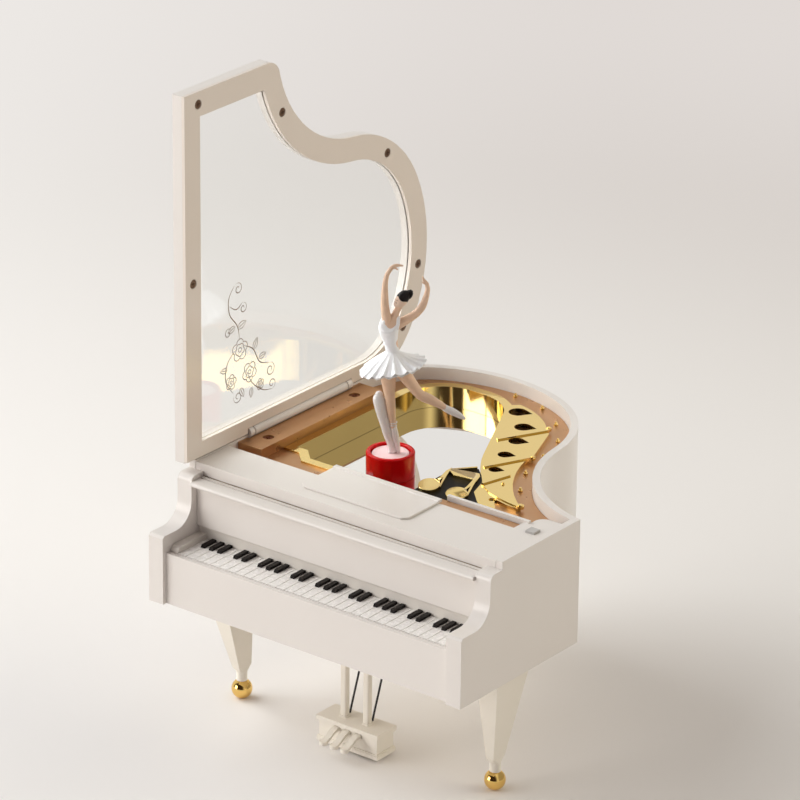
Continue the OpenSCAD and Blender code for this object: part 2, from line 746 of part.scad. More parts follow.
module hitch_pins() {
    color(gold) placed() {
        for (turn = [4.2, 19.8]) hitch_pin(back_c + (back_r - pin_inset + 1.7) * ahead(90 - turn));
        for (turn = [40 : 22.6 : 86]) hitch_pin(shoulder_c + (shoulder_r - pin_inset) * ahead(90 - turn));
        for (turn = [21.7, 37.2]) hitch_pin(waist_c + (waist_r + pin_inset) * ahead(180 + turn));
    }
}

module hitch_pin(at) {
    translate([at.x, at.y, board_top]) {
        cylinder(h = 0.7, r = 0.9, $fn = 24);
        cylinder(h = 1.6, r = 0.5, $fn = 24);
    }
}

// Black panel over the front corner of the tray, and the notes that lie on it
panel_x = shoulder_c.x + 23.2;
panel_front = tray_front - 1.7;
panel_corner = [panel_x, shoulder_c.y - 32];
panel_peak = panel_corner + [7.6, 8.8];
panel_w = 24.8;
note_rise = (panel_corner.y - panel_front) / panel_w;
note_step = 13.1;

module note_panel() {
    color(black) placed() translate([0, 0, harp_z]) linear_extrude(step_t) difference() {
        polygon([[panel_x, panel_front], panel_corner, panel_peak,
            [max(panel_peak.x + 3, prong_tip.x - 24), min(panel_peak.y - 1.5, prong_tip.y + 9.5)],
            prong_tip + [-18, 0], prong_tip + [-9.5, -9.5],
            [prong_tip.x - 9.5 + 1.12 * (prong_tip.y - 9.5 - panel_front), panel_front]]);
        harp_plan();
        harp_step_plan();
    }
}

// Point on the panel, as millimetres across and up from its front left corner
function on_panel(at) = [panel_x + at.x, panel_front + at.y * note_rise];

// Two notes joined by a beam
module note_ornament() {
    color(gold) placed() translate([0, 0, harp_z + step_t]) linear_extrude(harp_t + 0.2) {
        difference() {
            union() {
                for (shift = [0, -note_step]) {
                    polygon([for (a = [0 : 12 : 348]) on_panel([16.2 + shift + 4.5 * cos(a) - 1.2 * sin(a),
                        8.2 + 5.4 * sin(a)])]);
                    polygon([for (at = [[15.4, 15.7], [13.4, 22.4], [13.4, 26.2], [16.4, 18.9],
                        [20.8, 9.3], [19.3, 6.9], [15.7, 13.5]]) on_panel(at + [shift, 0])]);
                }
                polygon([for (at = [[0.7, 23.8], [1.3, 25.8], [12, 28.2], [13.8, 26.2], [15.1, 22.6],
                    [5, 20.9]]) on_panel(at)]);
            }
            for (shift = [0, -note_step]) polygon([for (at = [[16.5, 16.7], [18.8, 11.4], [16.9, 13.6]])
                on_panel(at + [shift, 0])]);
        }
        polygon([panel_corner + [0.4, 0.2], panel_corner + [1.2, -0.6], panel_peak + [0.3, -1.2],
            panel_peak + [-0.4, -0.4]]);
    }
}

cover_w = 11.9;
cover_x = -side_x + wall_t + 0.1;
cover_end = 9;
cover_screw_in = 6.2;
cover_y = barrel_y - cover_end;
cover_l = barrel_l + 2 * cover_end;
cover_h = 4.4;
cover_screw_x = cover_x + cover_screw_in;
cover_screw_y = [barrel_y + 2, barrel_y + barrel_l - 2];

module hinge_cover() {
    color(copper) placed() difference() {
        translate([cover_x, cover_y, board_top]) cube([cover_w - 0.1, cover_l, cover_h]);
        translate([hinge_x, barrel_y - lug_l - gap, hinge_z]) rotate([-90, 0, 0])
            cylinder(h = pin_l + 2 * gap, r = barrel_r + gap, $fn = 48);
        for (y = cover_screw_y) {
            translate([cover_screw_x, y, board_top - 1]) cylinder(h = cover_h + 2, r = 1.1, $fn = 32);
            translate([cover_screw_x, y, board_top + cover_h - 1.5]) cylinder(h = 3, r = 2.2, $fn = 40);
        }
    }
}

module hinge_screws() {
    color(copper) placed() for (y = cover_screw_y)
        translate([cover_screw_x, y, board_top + cover_h - 1.5]) pan_screw(1.95, 1, 0.85, cover_h - 0.6);
}

module hinge_pin() {
    color(steel) placed() translate([hinge_x, barrel_y - lug_l + gap, hinge_z]) rotate([-90, 0, 0])
        cylinder(h = pin_l - 2 * gap, r = hinge_pin_r, $fn = 32);
}

// ---------- lid, drawn closed and then turned up on its hinge ----------

lid_left_w = 3.9;
rebate = 2;
lid_z = rim_z;
bezel_top = lid_z + bezel_t;
lid_screw_in = frame_w / 2 - lid_over;
lid_screw_line = inset_trail(case_trail, lid_screw_in);
lid_screw_places = concat([for (stop = [12, 18, 31, 48]) lid_screw_line[stop]],
    [[side_x - lid_screw_in, lid_front + 8], [0, lid_front + (frame_w - 1) / 2]]);
lid_screw_r = 1.9;

module lid_outline(inset, left) {
    points = inset_trail(case_trail, inset - lid_over);
    last = points[len(points) - 1];
    side = min(side_x + lid_over - inset, last.x);
    // the waist's last chord, which the corner's arc touches
    turn = points[len(points) - 2];
    chord = turn - points[len(points) - 3];
    inward = [chord.y, -chord.x] / norm(chord);
    r = lid_corner_r - inset;
    centre = [side - r, turn.y + (r - inward.x * (side - r - turn.x)) / inward.y];
    difference() {
        intersection() {
            polygon(concat([[points[0].x, lid_front]], points, [[last.x, lid_front]]));
            translate([lid_edge_x + left, lid_front + inset])
                square([side_x + lid_over - inset - lid_edge_x - left, case_l]);
        }
        difference() {
            polygon([centre, [side, centre.y], [side + 2, centre.y], [side + 2, centre.y + r + 3],
                centre - (r + 3) * inward, centre - r * inward]);
            translate(centre) circle(r = r, $fn = 64);
        }
    }
}

module lid_opening() {
    points = inset_trail(case_trail, frame_w - lid_over);
    last = points[len(points) - 1];
    intersection() {
        polygon(concat([[points[0].x, lid_front]], points, [[last.x, lid_front]]));
        translate([lid_edge_x + lid_left_w, lid_front + frame_w - 1])
            square([side_x + lid_over - frame_w - lid_edge_x - lid_left_w, case_l]);
    }
}

module lid_rebate_plan(slack) {
    intersection() {
        lid_outline(frame_w - rebate + slack, lid_left_w - 1.4 + slack);
        square([2 * case_l, 2 * case_l], center = true);
    }
}

module opened() {
    placed() translate([hinge_x, 0, hinge_z]) rotate([0, -90, 0]) translate([-hinge_x, 0, -hinge_z])
        children();
}

module lug_room() {
    for (y = [barrel_y - lug_l - gap, barrel_y + barrel_l - gap])
        translate([hinge_x, y, hinge_z]) rotate([-90, 0, 0])
            cylinder(h = lug_l + 2 * gap, r = barrel_r + gap, $fn = 48);
}

module lid_frame() {
    color(white) opened() difference() {
        union() {
            translate([0, 0, bezel_top]) linear_extrude(lid_t - bezel_t) lid_outline(0, 0);
            translate([hinge_x, barrel_y + gap / 2, hinge_z]) rotate([-90, 0, 0])
                cylinder(h = barrel_l - gap, r = barrel_r, $fn = 48);
        }
        translate([0, 0, bezel_top - 1]) linear_extrude(lid_t) lid_opening();
        translate([0, 0, bezel_top - 1]) linear_extrude(1 + panel_t) lid_rebate_plan(0);
        lug_room();
        translate([hinge_x, barrel_y - 1, hinge_z]) rotate([-90, 0, 0])
            cylinder(h = barrel_l + 2, r = hinge_pin_r + run, $fn = 32);
        for (at = lid_screw_places) translate([at.x, at.y, bezel_top - 1])
            cylinder(h = 3.6, r = 0.85, $fn = 24);
    }
}

module lid_bezel() {
    color(white) opened() difference() {
        translate([0, 0, lid_z]) linear_extrude(bezel_t) lid_outline(0, hinge_x - lid_edge_x - run);
        translate([0, 0, lid_z - 1]) linear_extrude(lid_t) lid_opening();
        translate([hinge_x, barrel_y - lug_l - gap, hinge_z]) rotate([-90, 0, 0])
            cylinder(h = pin_l + 2 * gap, r = barrel_r + gap, $fn = 48);
        for (at = lid_screw_places) translate([at.x, at.y, lid_z - 1]) {
            cylinder(h = bezel_t + 2, r = 1, $fn = 24);
            cylinder(h = 1.9, r = lid_screw_r, $fn = 40);
        }
    }
}

module lid_panel() {
    color([0.9, 0.95, 0.97, 0.3]) opened() translate([0, 0, bezel_top])
        linear_extrude(panel_t - 0.05) lid_rebate_plan(fit);
}

module lid_screws() {
    color(steel) opened() for (at = lid_screw_places)
        translate([at.x, at.y, lid_z + 0.9]) rotate([180, 0, 0]) pan_screw(lid_screw_r - 0.2, 0.7, 0.8, 2.8);
}

// ---------- legs and lyre ----------

ankle_z = 14;
neck_r = 2.2;
leg_screw_r = 1.2;

// Leg that tapers from a broad top, which leans away from the ball foot
module leg(i) {
    at = leg_places[i];
    lean = leg_leans[i];
    neck_z = 2 * foot_r;
    color(white) placed() translate([at.x, at.y, 0]) difference() {
        union() {
            hull() {
                translate([lean.x, lean.y, case_z - 0.5]) cube([leg_top_w, leg_top_d, 1], center = true);
                translate([0, 0, ankle_z]) cube([leg_ankle_w, leg_ankle_d, 0.02], center = true);
            }
            hull() {
                translate([0, 0, ankle_z]) cube([leg_ankle_w, leg_ankle_d, 0.02], center = true);
                translate([0, 0, ankle_z - 2.4]) cylinder(h = 0.02, r = neck_r, $fn = 32);
            }
            translate([0, 0, neck_z - 1]) cylinder(h = ankle_z - neck_z - 1, r = neck_r, $fn = 40);
        }
        translate([0, 0, foot_r]) sphere(r = foot_r, $fn = 48);
        translate([lean.x, lean.y, case_z - 9]) cylinder(h = 10, r = leg_screw_r + run, $fn = 32);
    }
}

// Ball with a small flat to stand on
module foot(at) {
    flat = 0.15;
    color(gold) placed() translate([at.x, at.y, -flat]) difference() {
        translate([0, 0, foot_r]) sphere(r = foot_r - 0.02, $fn = 48);
        translate([0, 0, flat - 5]) cube([4 * foot_r, 4 * foot_r, 10], center = true);
    }
}

module leg_screws() {
    color(steel) placed() for (at = leg_screw_places)
        translate([at.x, at.y, bottom_top]) pan_screw(leg_screw_head_r, 1.2, leg_screw_r, 8);
}

pedal_low = 1.3;
pedal_top = pedal_low + pedal_box_h;
plinth_h = 1.6;
slab_h = 1.8;
moulding_h = 0.6;
box_step = 0.45;
pedal_front = lyre_y - pedal_box_d / 2;
pedal_z = pedal_top - slab_h - 1.9;
pedal_pitch = 5.2;
pedal_w = 2.6;
pedal_t = 1.4;

// One course of the pedal box, set in all round
module box_course(inset, z, h) {
    translate([-pedal_box_w / 2 + inset, pedal_front + inset, z])
        cube([pedal_box_w - 2 * inset, pedal_box_d - 2 * inset, h]);
}

// Square post with soft corners
module lyre_post(w, h) {
    r = w / 4;
    translate([0, 0, h / 2]) {
        cube([w - 2 * r, w, h], center = true);
        cube([w, w - 2 * r, h], center = true);
        for (x = [-1, 1], y = [-1, 1]) translate([x * (w / 2 - r), y * (w / 2 - r), 0])
            cylinder(h = h, r = r, center = true, $fn = 32);
    }
}

module lyre_frame() {
    color(white) placed() {
        difference() {
            union() {
                box_course(0.2, pedal_low, plinth_h);
                box_course(box_step, pedal_low + plinth_h - 0.1, moulding_h);
                box_course(2 * box_step, pedal_low + plinth_h, pedal_box_h - plinth_h - 0.1);
                box_course(box_step, pedal_top - slab_h - moulding_h, moulding_h + 0.1);
                box_course(0, pedal_top - slab_h, slab_h);
            }
            for (i = [-1 : 1])
                translate([i * pedal_pitch - pedal_w / 2 - 0.3, pedal_front - 1, pedal_z - 0.25])
                    cube([pedal_w + 0.6, 5, pedal_t + 0.5]);
        }
        for (side = [-1, 1]) translate([side * lyre_span / 2, lyre_y, 0]) {
            translate([0, 0, pedal_top - 0.1]) lyre_post(lyre_post_w, case_z - pedal_top + 0.1);
            translate([0, 0, pedal_top - 0.1]) lyre_post(lyre_post_w + 0.7, 0.8);
            translate([0, 0, case_z - 1]) cylinder(h = bottom_t + 0.8, r = lyre_peg_r, $fn = 32);
        }
    }
}

module lyre_rods() {
    color(black) placed() for (side = [-1, 1])
        rod([side * lyre_span / 2, lyre_y + 3.1, pedal_top + 0.18],
            [side * lyre_span / 2, lyre_y + 17.5, case_z - 0.18], 0.42);
}

module pedals() {
    reach_y = 7.6;
    color(white) placed() for (i = [-1 : 1]) translate([i * pedal_pitch, pedal_front + 3, pedal_z]) {
        translate([-pedal_w / 2, 0, 0]) rotate([90, 0, 90])
            linear_extrude(pedal_w) polygon([[0, 0], [0, pedal_t], [-3.4, pedal_t], [-6, 0.6], [-8, -0.8],
                [-3 - reach_y, -1.6], [-3 - reach_y, -3], [-8.6, -2.4], [-6, -0.9], [-3.4, 0]]);
        translate([0, -3 - reach_y, -3.1]) cylinder(h = 1.6, r = 1.7, $fn = 40);
    }
}

// ---------- drum and turntable ----------

drum_top = mirror_top + drum_h;
disc_top = drum_top - 0.8;
disc_t = 1.6;
hub_l = 3.4;
peg_r = 1;
peg_l = 3;
spindle_top = disc_top - peg_l - 0.3;
spindle_seat = 1.8;

module drum_cup() {
    color(red) placed() translate([drum_x, drum_y, mirror_top]) difference() {
        cylinder(h = drum_h, r = drum_r, $fn = 96);
        translate([0, 0, 2]) cylinder(h = drum_h, r = disc_r + gap, $fn = 96);
        translate([0, 0, -1]) cylinder(h = 4, r = spindle_r + run, $fn = 40);
    }
}

module turntable() {
    color([0.97, 0.90, 0.90]) placed() translate([drum_x, drum_y, disc_top - disc_t]) difference() {
        union() {
            cylinder(h = disc_t, r = disc_r, $fn = 96);
            translate([0, 0, -hub_l]) cylinder(h = hub_l + 0.1, r = 3, $fn = 48);
        }
        translate([0, 0, disc_t - peg_l - 0.1]) cylinder(h = peg_l + 1, r = peg_r + run, $fn = 32);
        translate([0, 0, -hub_l - 1])
            cylinder(h = spindle_top - disc_top + disc_t + hub_l + 1, r = spindle_r + 0.01, $fn = 40);
    }
}

gear_z = bed_z + bed_t + housing_h + 0.5;
gear_disc_t = 1.2;
hub_top = gear_z + 5;

module spindle() {
    color(steel) placed() translate([drum_x, drum_y, hub_top - spindle_seat])
        cylinder(h = spindle_top - hub_top + spindle_seat, r = spindle_r, $fn = 40);
}

// ---------- figure, drawn facing across and turned on the disc ----------

figure_turn = 38;

module on_disc() {
    placed() translate([drum_x, drum_y, disc_top]) rotate([0, 0, figure_turn]) children();
}

module limb(joints, radii) {
    for (i = [0 : len(joints) - 2]) hull() {
        translate(joints[i]) sphere(r = radii[i], $fn = 16);
        translate(joints[i + 1]) sphere(r = radii[i + 1], $fn = 16);
    }
}

waist = figure_waist_h;
hip_z = waist - 4.5;
shoulder_z = waist + 18.6;

// Arms, neck, head and legs
module dancer_limbs() {
    limb([[-2.2, -1, shoulder_z - 1], [-3.9, -1.6, shoulder_z + 10.6], [-1.8, -1.2, shoulder_z + 19],
        [1, -0.6, shoulder_z + 21.6], [4, -0.4, shoulder_z + 20.9]], [1.5, 1.35, 1, 0.8, 0.6]);
    limb([[3.6, 1, shoulder_z - 3.4], [13.6, 1.4, shoulder_z + 3.2], [15, 0.8, shoulder_z + 11.4],
        [12.4, 0.4, shoulder_z + 14.4]], [1.5, 1.25, 0.8, 0.55]);
    limb([[1.4, 0, shoulder_z - 2], [3.6, 0, shoulder_z + 4.4]], [1.6, 1.3]);
    limb([[3.8, -0.4, shoulder_z + 5.6], [4.6, 0, shoulder_z + 8]], [2.3, 2.9]);
    limb([[-0.9, -0.4, hip_z], [0.6, -0.4, 20.5], [1.6, -0.2, 7]], [2.6, 2.1, 1.5]);
    limb([[5.4, 0, hip_z - 0.4], [11.6, 0.6, hip_z - 10.6], [20.8, 0.8, hip_z - 15.4]], [2.6, 2, 1.4]);
}

module dress_form() {
    limb([[-0.4, 0, shoulder_z - 2.4], [0.2, 0, shoulder_z - 9], [0.4, 0, waist + 2.6],
        [1.6, 0, waist - 2.4]], [3.5, 3, 2.3, 3.6]);
}

// A low cone with a fluted hem, hollow underneath
module skirt(r, h, flutes, depth) {
    linear_extrude(height = h, scale = 0.22)
        polygon([for (a = [0 : 360 / (4 * flutes) : 359.9]) (r + depth * sin(flutes * a)) * ahead(a)]);
}

module tutu_form() {
    tilt = -12;
    translate([1, 0, waist - 4.6]) rotate([0, tilt, 0]) children();
}

// Moulded support, standing shoe and the pointed shoe of the raised leg
module stand_form() {
    limb([[-4.4, 0.6, 21.4], [-4, 0.6, 16], [-1.2, 0.2, 8], [0.4, 0, 2.6]], [2.1, 1.9, 1.6, 1.5]);
    limb([[1.8, 0, 8.4], [1.9, 0, 1.6]], [1.75, 1.5]);
    limb([[20.2, 0.8, hip_z - 15.1], [24.4, 0.8, hip_z - 17.6], [28, 0.8, hip_z - 20]], [1.65, 1.5, 0.7]);
}

module dancer_body() {
    color(skin) on_disc() difference() {
        dancer_limbs();
        dress_form();
        stand_form();
        tutu_form() skirt(tutu_r, 6.4, 22, 0.5);
    }
}

module dancer_dress() {
    color([0.95, 0.95, 0.97]) on_disc() dress_form();
}

module dancer_tutu() {
    color([0.95, 0.95, 0.98]) on_disc() difference() {
        tutu_form() skirt(tutu_r, 6.4, 22, 0.5);
        tutu_form() translate([0, 0, -0.9]) skirt(tutu_r, 6.4, 22, 0.5);
        dress_form();
    }
}

module dancer_hair() {
    color(black) on_disc() difference() {
        union() {
            limb([[6, 0.4, shoulder_z + 8.6], [5, 0.2, shoulder_z + 9.4]], [2.9, 2.6]);
            limb([[8.2, 0.8, shoulder_z + 11], [8.3, 0.8, shoulder_z + 11.4]], [1.5, 1.5]);
        }
        limb([[3.8, -0.4, shoulder_z + 5.6], [4.6, 0, shoulder_z + 8]], [2.3, 2.9]);
    }
}

module dancer_stand() {
    color([0.97, 0.96, 0.96]) on_disc() {
        stand_form();
        translate([0, 0, -peg_l]) cylinder(h = peg_l + 1.6, r = peg_r, $fn = 32);
    }
}

// ---------- movement ----------

bed_top = bed_z + bed_t;
pitch_z = gear_z + gear_disc_t + 0.5;
crown_teeth = 60;
pinion_teeth = 30;
idler_teeth = 15;
worm_teeth = 16;
crown_r = gear_m * crown_teeth / 2;
pinion_r = gear_m * pinion_teeth / 2;
idler_r = gear_m * idler_teeth / 2;
axis_z = pitch_z + pinion_r;
train_x = drum_x + crown_r;
pinion_w = 2;
bridge_t = 1.2;
bridge_in_x = train_x + 2.2;
cylinder_x = bridge_in_x + bridge_t + 0.4;
gear_end_x = cylinder_x + cylinder_l + 0.5;
bridge_out_x = gear_end_x + pinion_w + 0.4;
train_arbor_r = 0.9;
idler_y = drum_y + pinion_r + idler_r + 0.08;
worm_m = 0.6;
worm_wheel_r = worm_m * worm_teeth / 2;
worm_r = 1.7;
wheel_x = bridge_out_x + bridge_t + 0.6;
wheel_w = 1.4;
fan_at = [wheel_x + wheel_w / 2, idler_y + worm_wheel_r + worm_r];
fan_r = 4.6;
fan_z = axis_z + 6.6;
fan_h = 3.2;
bracket_top = fan_z + fan_h + 0.4;
fan_top = bracket_top + 1.7;
pin_out = 0.4;
comb_t = 1;
comb_gap = 0.2;

module bedplate() {
    post_w = cylinder_l + 1;
    color(brass) placed() difference() {
        union() {
            translate([bed_x - bed_l / 2, bed_y - bed_w / 2, bed_z]) cube([bed_l, bed_w, bed_t]);
            translate([cylinder_x - 0.5, comb_back - 0.2, bed_z])
                cube([post_w, comb_base, axis_z - comb_t / 2 - bed_z]);
        }
        for (at = bed_screws) translate([at.x, at.y, bed_z - 1]) cylinder(h = bed_t + 2, r = 1.4, $fn = 32);
        translate([drum_x, drum_y, bed_z - 1]) cylinder(h = bed_t + 2, r = arbor_r + run, $fn = 40);
        for (x = comb_screw_x) translate([x, comb_back + comb_base / 2, axis_z - 6])
            cylinder(h = 8, r = 0.9, $fn = 24);
        for (y = bridge_screw_y) translate([bridge_screw_x, y, bed_z - 1])
            cylinder(h = bed_t + 2, r = 0.9, $fn = 24);
        translate([fan_at.x, fan_at.y + bracket_back, bed_z - 1]) cylinder(h = bed_t + 2, r = 0.9, $fn = 24);
    }
}

module movement_screws() {
    color(steel) placed() {
        for (at = bed_screws) translate([at.x, at.y, bed_top]) pan_screw(2.2, 1.1, screw_r, 5.2);
        for (y = bridge_screw_y) translate([bridge_screw_x, y, bed_top + bridge_t])
            pan_screw(1.7, 0.9, 0.85, 2.8);
        translate([fan_at.x, fan_at.y + bracket_back, bed_top + bridge_t]) pan_screw(1.7, 0.9, 0.85, 2.8);
    }
}

module spring_housing() {
    color(steel) placed() translate([drum_x, drum_y, bed_top]) difference() {
        cylinder(h = housing_h, r = housing_r, $fn = 96);
        translate([0, 0, 0.8]) cylinder(h = housing_h - 1.6, r = housing_r - 0.8, $fn = 96);
        translate([0, 0, -1]) cylinder(h = housing_h + 2, r = arbor_r + run, $fn = 40);
    }
}

// Flat coiled spring: a strip that winds outward
module mainspring() {
    turns = 6;
    strip = 0.5;
    first_r = arbor_r + 1;
    last_r = housing_r - 1.6;
    step = 15;
    function coil(a, grow) = (first_r + (last_r - first_r) * a / (360 * turns) + grow) * ahead(a);
    color([0.35, 0.37, 0.42]) placed() translate([drum_x, drum_y, bed_top + 1.2])
        linear_extrude(housing_h - 2.4) polygon(concat(
            [for (a = [0 : step : 360 * turns]) coil(a, 0)],
            [for (a = [360 * turns : -step : 0]) coil(a, strip)]));
}

module winding_arbor() {
    color(steel) placed() translate([drum_x, drum_y, key_low]) difference() {
        cylinder(h = gear_z + 3 - key_low, r = arbor_r, $fn = 40);
        translate([0, 0, -1]) cylinder(h = 3, r = 0.5, $fn = 24);
    }
}

key_low = case_z - 15;
key_t = 1.6;

// Butterfly key on the arbor
module winding_key() {
    color(brass) placed() translate([drum_x, drum_y, key_low + 1]) difference() {
        union() {
            cylinder(h = 11, r = 3, $fn = 48);
            for (side = [0, 1]) mirror([side, 0, 0]) rotate([90, 0, 0])
                translate([0, 0, -key_t / 2]) linear_extrude(key_t) difference() {
                    union() {
                        translate([key_w / 2 - 4.4, 4.6]) circle(r = 4.4, $fn = 48);
                        translate([1, 1.6]) square([key_w / 2 - 5.4, 6]);
                    }
                    translate([key_w / 2 - 4.4, 4.6]) circle(r = 2, $fn = 40);
                }
        }
        translate([0, 0, -1]) cylinder(h = 13, r = arbor_r + 0.01, $fn = 40);
    }
}

// Spur gear outline: trapezium teeth with backlash
module spur_plan(teeth, m, thin) {
    pitch = m * teeth / 2;
    tip = pitch + 0.9 * m;
    root = pitch - 1.15 * m;
    step = 360 / teeth;
    wide = thin * 1.35;
    narrow = thin * 0.6;
    polygon([for (i = [0 : teeth - 1], corner = [[root, -wide], [tip, -narrow], [tip, narrow], [root, wide]])
        corner[0] * ahead(i * step + corner[1] * step)]);
}

// Disc with upright teeth on its face, and the hub that carries the spindle
module drive_gear() {
    step = 360 / crown_teeth;
    color(brass) placed() translate([drum_x, drum_y, gear_z]) difference() {
        union() {
            cylinder(h = gear_disc_t, r = crown_r + 1.3, $fn = 96);
            cylinder(h = hub_top - gear_z, r = 3, $fn = 48);
            for (i = [0 : crown_teeth - 1]) rotate([0, 0, i * step]) translate([crown_r - 1.3, 0, gear_disc_t])
                rotate([90, 0, 90]) linear_extrude(2.6)
                    polygon([[-0.27, -0.2], [0.27, -0.2], [0.13, 0.5 + 0.32], [-0.13, 0.5 + 0.32]]);
        }
        translate([0, 0, -1]) cylinder(h = 4.1, r = arbor_r + run, $fn = 40);
        translate([0, 0, hub_top - gear_z - spindle_seat]) cylinder(h = 4, r = spindle_r + 0.01, $fn = 40);
    }
}

// Pinned cylinder with its arbor, pinion and end gear
module note_cylinder() {
    color(brass) placed() translate([0, drum_y, axis_z]) rotate([0, 90, 0]) {
        translate([0, 0, cylinder_x]) cylinder(h = cylinder_l, r = cylinder_r, $fn = 64);
        translate([0, 0, train_x - 1]) cylinder(h = bridge_out_x + bridge_t - train_x + 1.4, r = train_arbor_r, $fn = 32);
        translate([0, 0, train_x - 1]) rotate([0, 0, 180 / pinion_teeth])
            linear_extrude(pinion_w) spur_plan(pinion_teeth, gear_m, 0.19);
        translate([0, 0, gear_end_x]) rotate([0, 0, 180 / pinion_teeth])
            linear_extrude(pinion_w) spur_plan(pinion_teeth, gear_m, 0.19);
        for (i = [0 : comb_count - 1], k = [0 : 2])
            translate([0, 0, cylinder_x + 0.6 + i * comb_pitch]) rotate([90, 0, i * 67 + k * 131 + 20])
                cylinder(h = cylinder_r + pin_out, r = 0.16, $fn = 16);
    }
}

comb_pitch = (cylinder_l - 1) / comb_count;
comb_tip_y = drum_y - cylinder_r - pin_out - comb_gap;
comb_base = 5;
comb_l = 11;
comb_back = comb_tip_y - comb_l - comb_base + 1;
comb_screw_x = [cylinder_x + 4, cylinder_x + cylinder_l - 4];

// Steel comb: a bar with tuned teeth of growing length
module comb() {
    color([0.62, 0.63, 0.66]) placed() translate([0, 0, axis_z - comb_t / 2]) difference() {
        translate([cylinder_x, comb_back, 0]) cube([cylinder_l, comb_tip_y - comb_back, comb_t]);
        for (i = [0 : comb_count]) translate([cylinder_x + 0.1 + i * comb_pitch - 0.14,
                comb_back + comb_base + i * 0.12, -1])
            cube([0.28, comb_l + 6, comb_t + 2]);
        for (x = comb_screw_x) translate([x, comb_back + comb_base / 2, -1])
            cylinder(h = comb_t + 2, r = 1.1, $fn = 32);
    }
}

module comb_screws() {
    color(steel) placed() for (x = comb_screw_x)
        translate([x, comb_back + comb_base / 2, axis_z + comb_t / 2]) pan_screw(1.8, 1, 0.85, 5);
}

bridge_foot = 5;
bridge_screw_x = (bridge_in_x + bridge_out_x + bridge_t) / 2;
bridge_screw_y = [drum_y - 4, drum_y + 4];
bridge_y = drum_y - 6.5;
bridge_w = idler_y + 4 - bridge_y;

// Folded bridge with a bearing plate at each end of the cylinder
module cylinder_bridge() {
    color(brass) placed() difference() {
        union() {
            translate([bridge_in_x, bridge_y, bed_top])
                cube([bridge_out_x + bridge_t - bridge_in_x, 13, bridge_t]);
            translate([bridge_in_x, bridge_y, bed_top]) cube([bridge_t, 13, axis_z + 3 - bed_top]);
            translate([bridge_out_x, bridge_y, bed_top]) cube([bridge_t, bridge_w, axis_z + 3 - bed_top]);
        }
        translate([bridge_in_x - 1, drum_y, axis_z]) rotate([0, 90, 0])
            cylinder(h = bridge_out_x - bridge_in_x + 4, r = train_arbor_r + run, $fn = 32);
        translate([bridge_out_x - 1, idler_y, axis_z]) rotate([0, 90, 0])
            cylinder(h = bridge_t + 2, r = train_arbor_r + run, $fn = 32);
        for (y = bridge_screw_y) translate([bridge_screw_x, y, bed_top - 1])
            cylinder(h = bridge_t + 2, r = 1.1, $fn = 32);
    }
}

module idler_wheel() {
    color(brass) placed() translate([0, idler_y, axis_z]) rotate([0, 90, 0]) {
        translate([0, 0, gear_end_x]) rotate([0, 0, idler_turn])
            linear_extrude(pinion_w) spur_plan(idler_teeth, gear_m, 0.19);
        translate([0, 0, gear_end_x]) cylinder(h = wheel_x + wheel_w + 2.4 - gear_end_x, r = train_arbor_r, $fn = 32);
        translate([0, 0, wheel_x]) linear_extrude(wheel_w) spur_plan(worm_teeth, worm_m, 0.15);
    }
}

bracket_back = 4;
idler_turn = 270 - 360 / idler_teeth * (floor(0.75 * idler_teeth) + 0.5);
bracket_t = 1.6;
bracket_w = 7;

// Bracket with a low and a high bearing for the worm, and an arm for the idler
module governor_bracket() {
    color(brass) placed() difference() {
        union() {
            translate([fan_at.x - bracket_w / 2, fan_at.y + 2, bed_top]) cube([bracket_w, 5.6, bridge_t]);
            translate([fan_at.x - bracket_w / 2, fan_at.y + 7.6 - bracket_t, bed_top])
                cube([bracket_w, bracket_t, bracket_top + 1.2 - bed_top]);
            for (z = [axis_z - 7.6, bracket_top]) translate([fan_at.x - bracket_w / 2, fan_at.y - 2, z])
                cube([bracket_w, 9.6, 1.2]);
            translate([wheel_x + wheel_w + 0.5, idler_y - 2.5, axis_z - 7.6]) {
                cube([1.6, fan_at.y - idler_y + 2, 2.4]);
                cube([1.6, 5, 10.6]);
            }
        }
        translate([fan_at.x, fan_at.y, axis_z - 9]) cylinder(h = 30, r = 0.6 + run, $fn = 32);
        translate([wheel_x, idler_y, axis_z]) rotate([0, 90, 0]) cylinder(h = 6, r = train_arbor_r + run, $fn = 32);
        translate([fan_at.x, fan_at.y + bracket_back, bed_top - 1]) cylinder(h = bridge_t + 2, r = 1.1, $fn = 32);
    }
}

// Worm on an upright arbor with a two-bladed air brake
module governor_fan() {
    worm_lead = PI * worm_m;
    worm_turns = 4;
    core_r = worm_r - 0.65;
    color(steel) placed() translate([fan_at.x, fan_at.y, 0]) {
        translate([0, 0, axis_z - 7.4]) cylinder(h = fan_top - axis_z + 7.4, r = 0.6, $fn = 32);
        translate([0, 0, axis_z - 4.5]) cylinder(h = 9, r = core_r, $fn = 40);
        translate([0, 0, axis_z - worm_lead * worm_turns / 2])
            linear_extrude(height = worm_lead * worm_turns, twist = -360 * worm_turns, slices = 12 * worm_turns)
                rotate([0, 0, 90]) translate([core_r, 0]) circle(r = 0.55, $fn = 12);
        translate([0, 0, fan_z]) cylinder(h = fan_h, r = 1.2, $fn = 32);
        translate([-fan_r, -0.3, fan_z]) cube([2 * fan_r, 0.6, fan_h]);
    }
}

// ---------- music stop ----------

plunger_top = deck_top + 0.8;
cap_t = 1.6;
stem_r = 0.8;
stop_travel = 2.2;
wire_r = 0.4;
wire_z = fan_top + stop_travel + wire_r + 0.1;

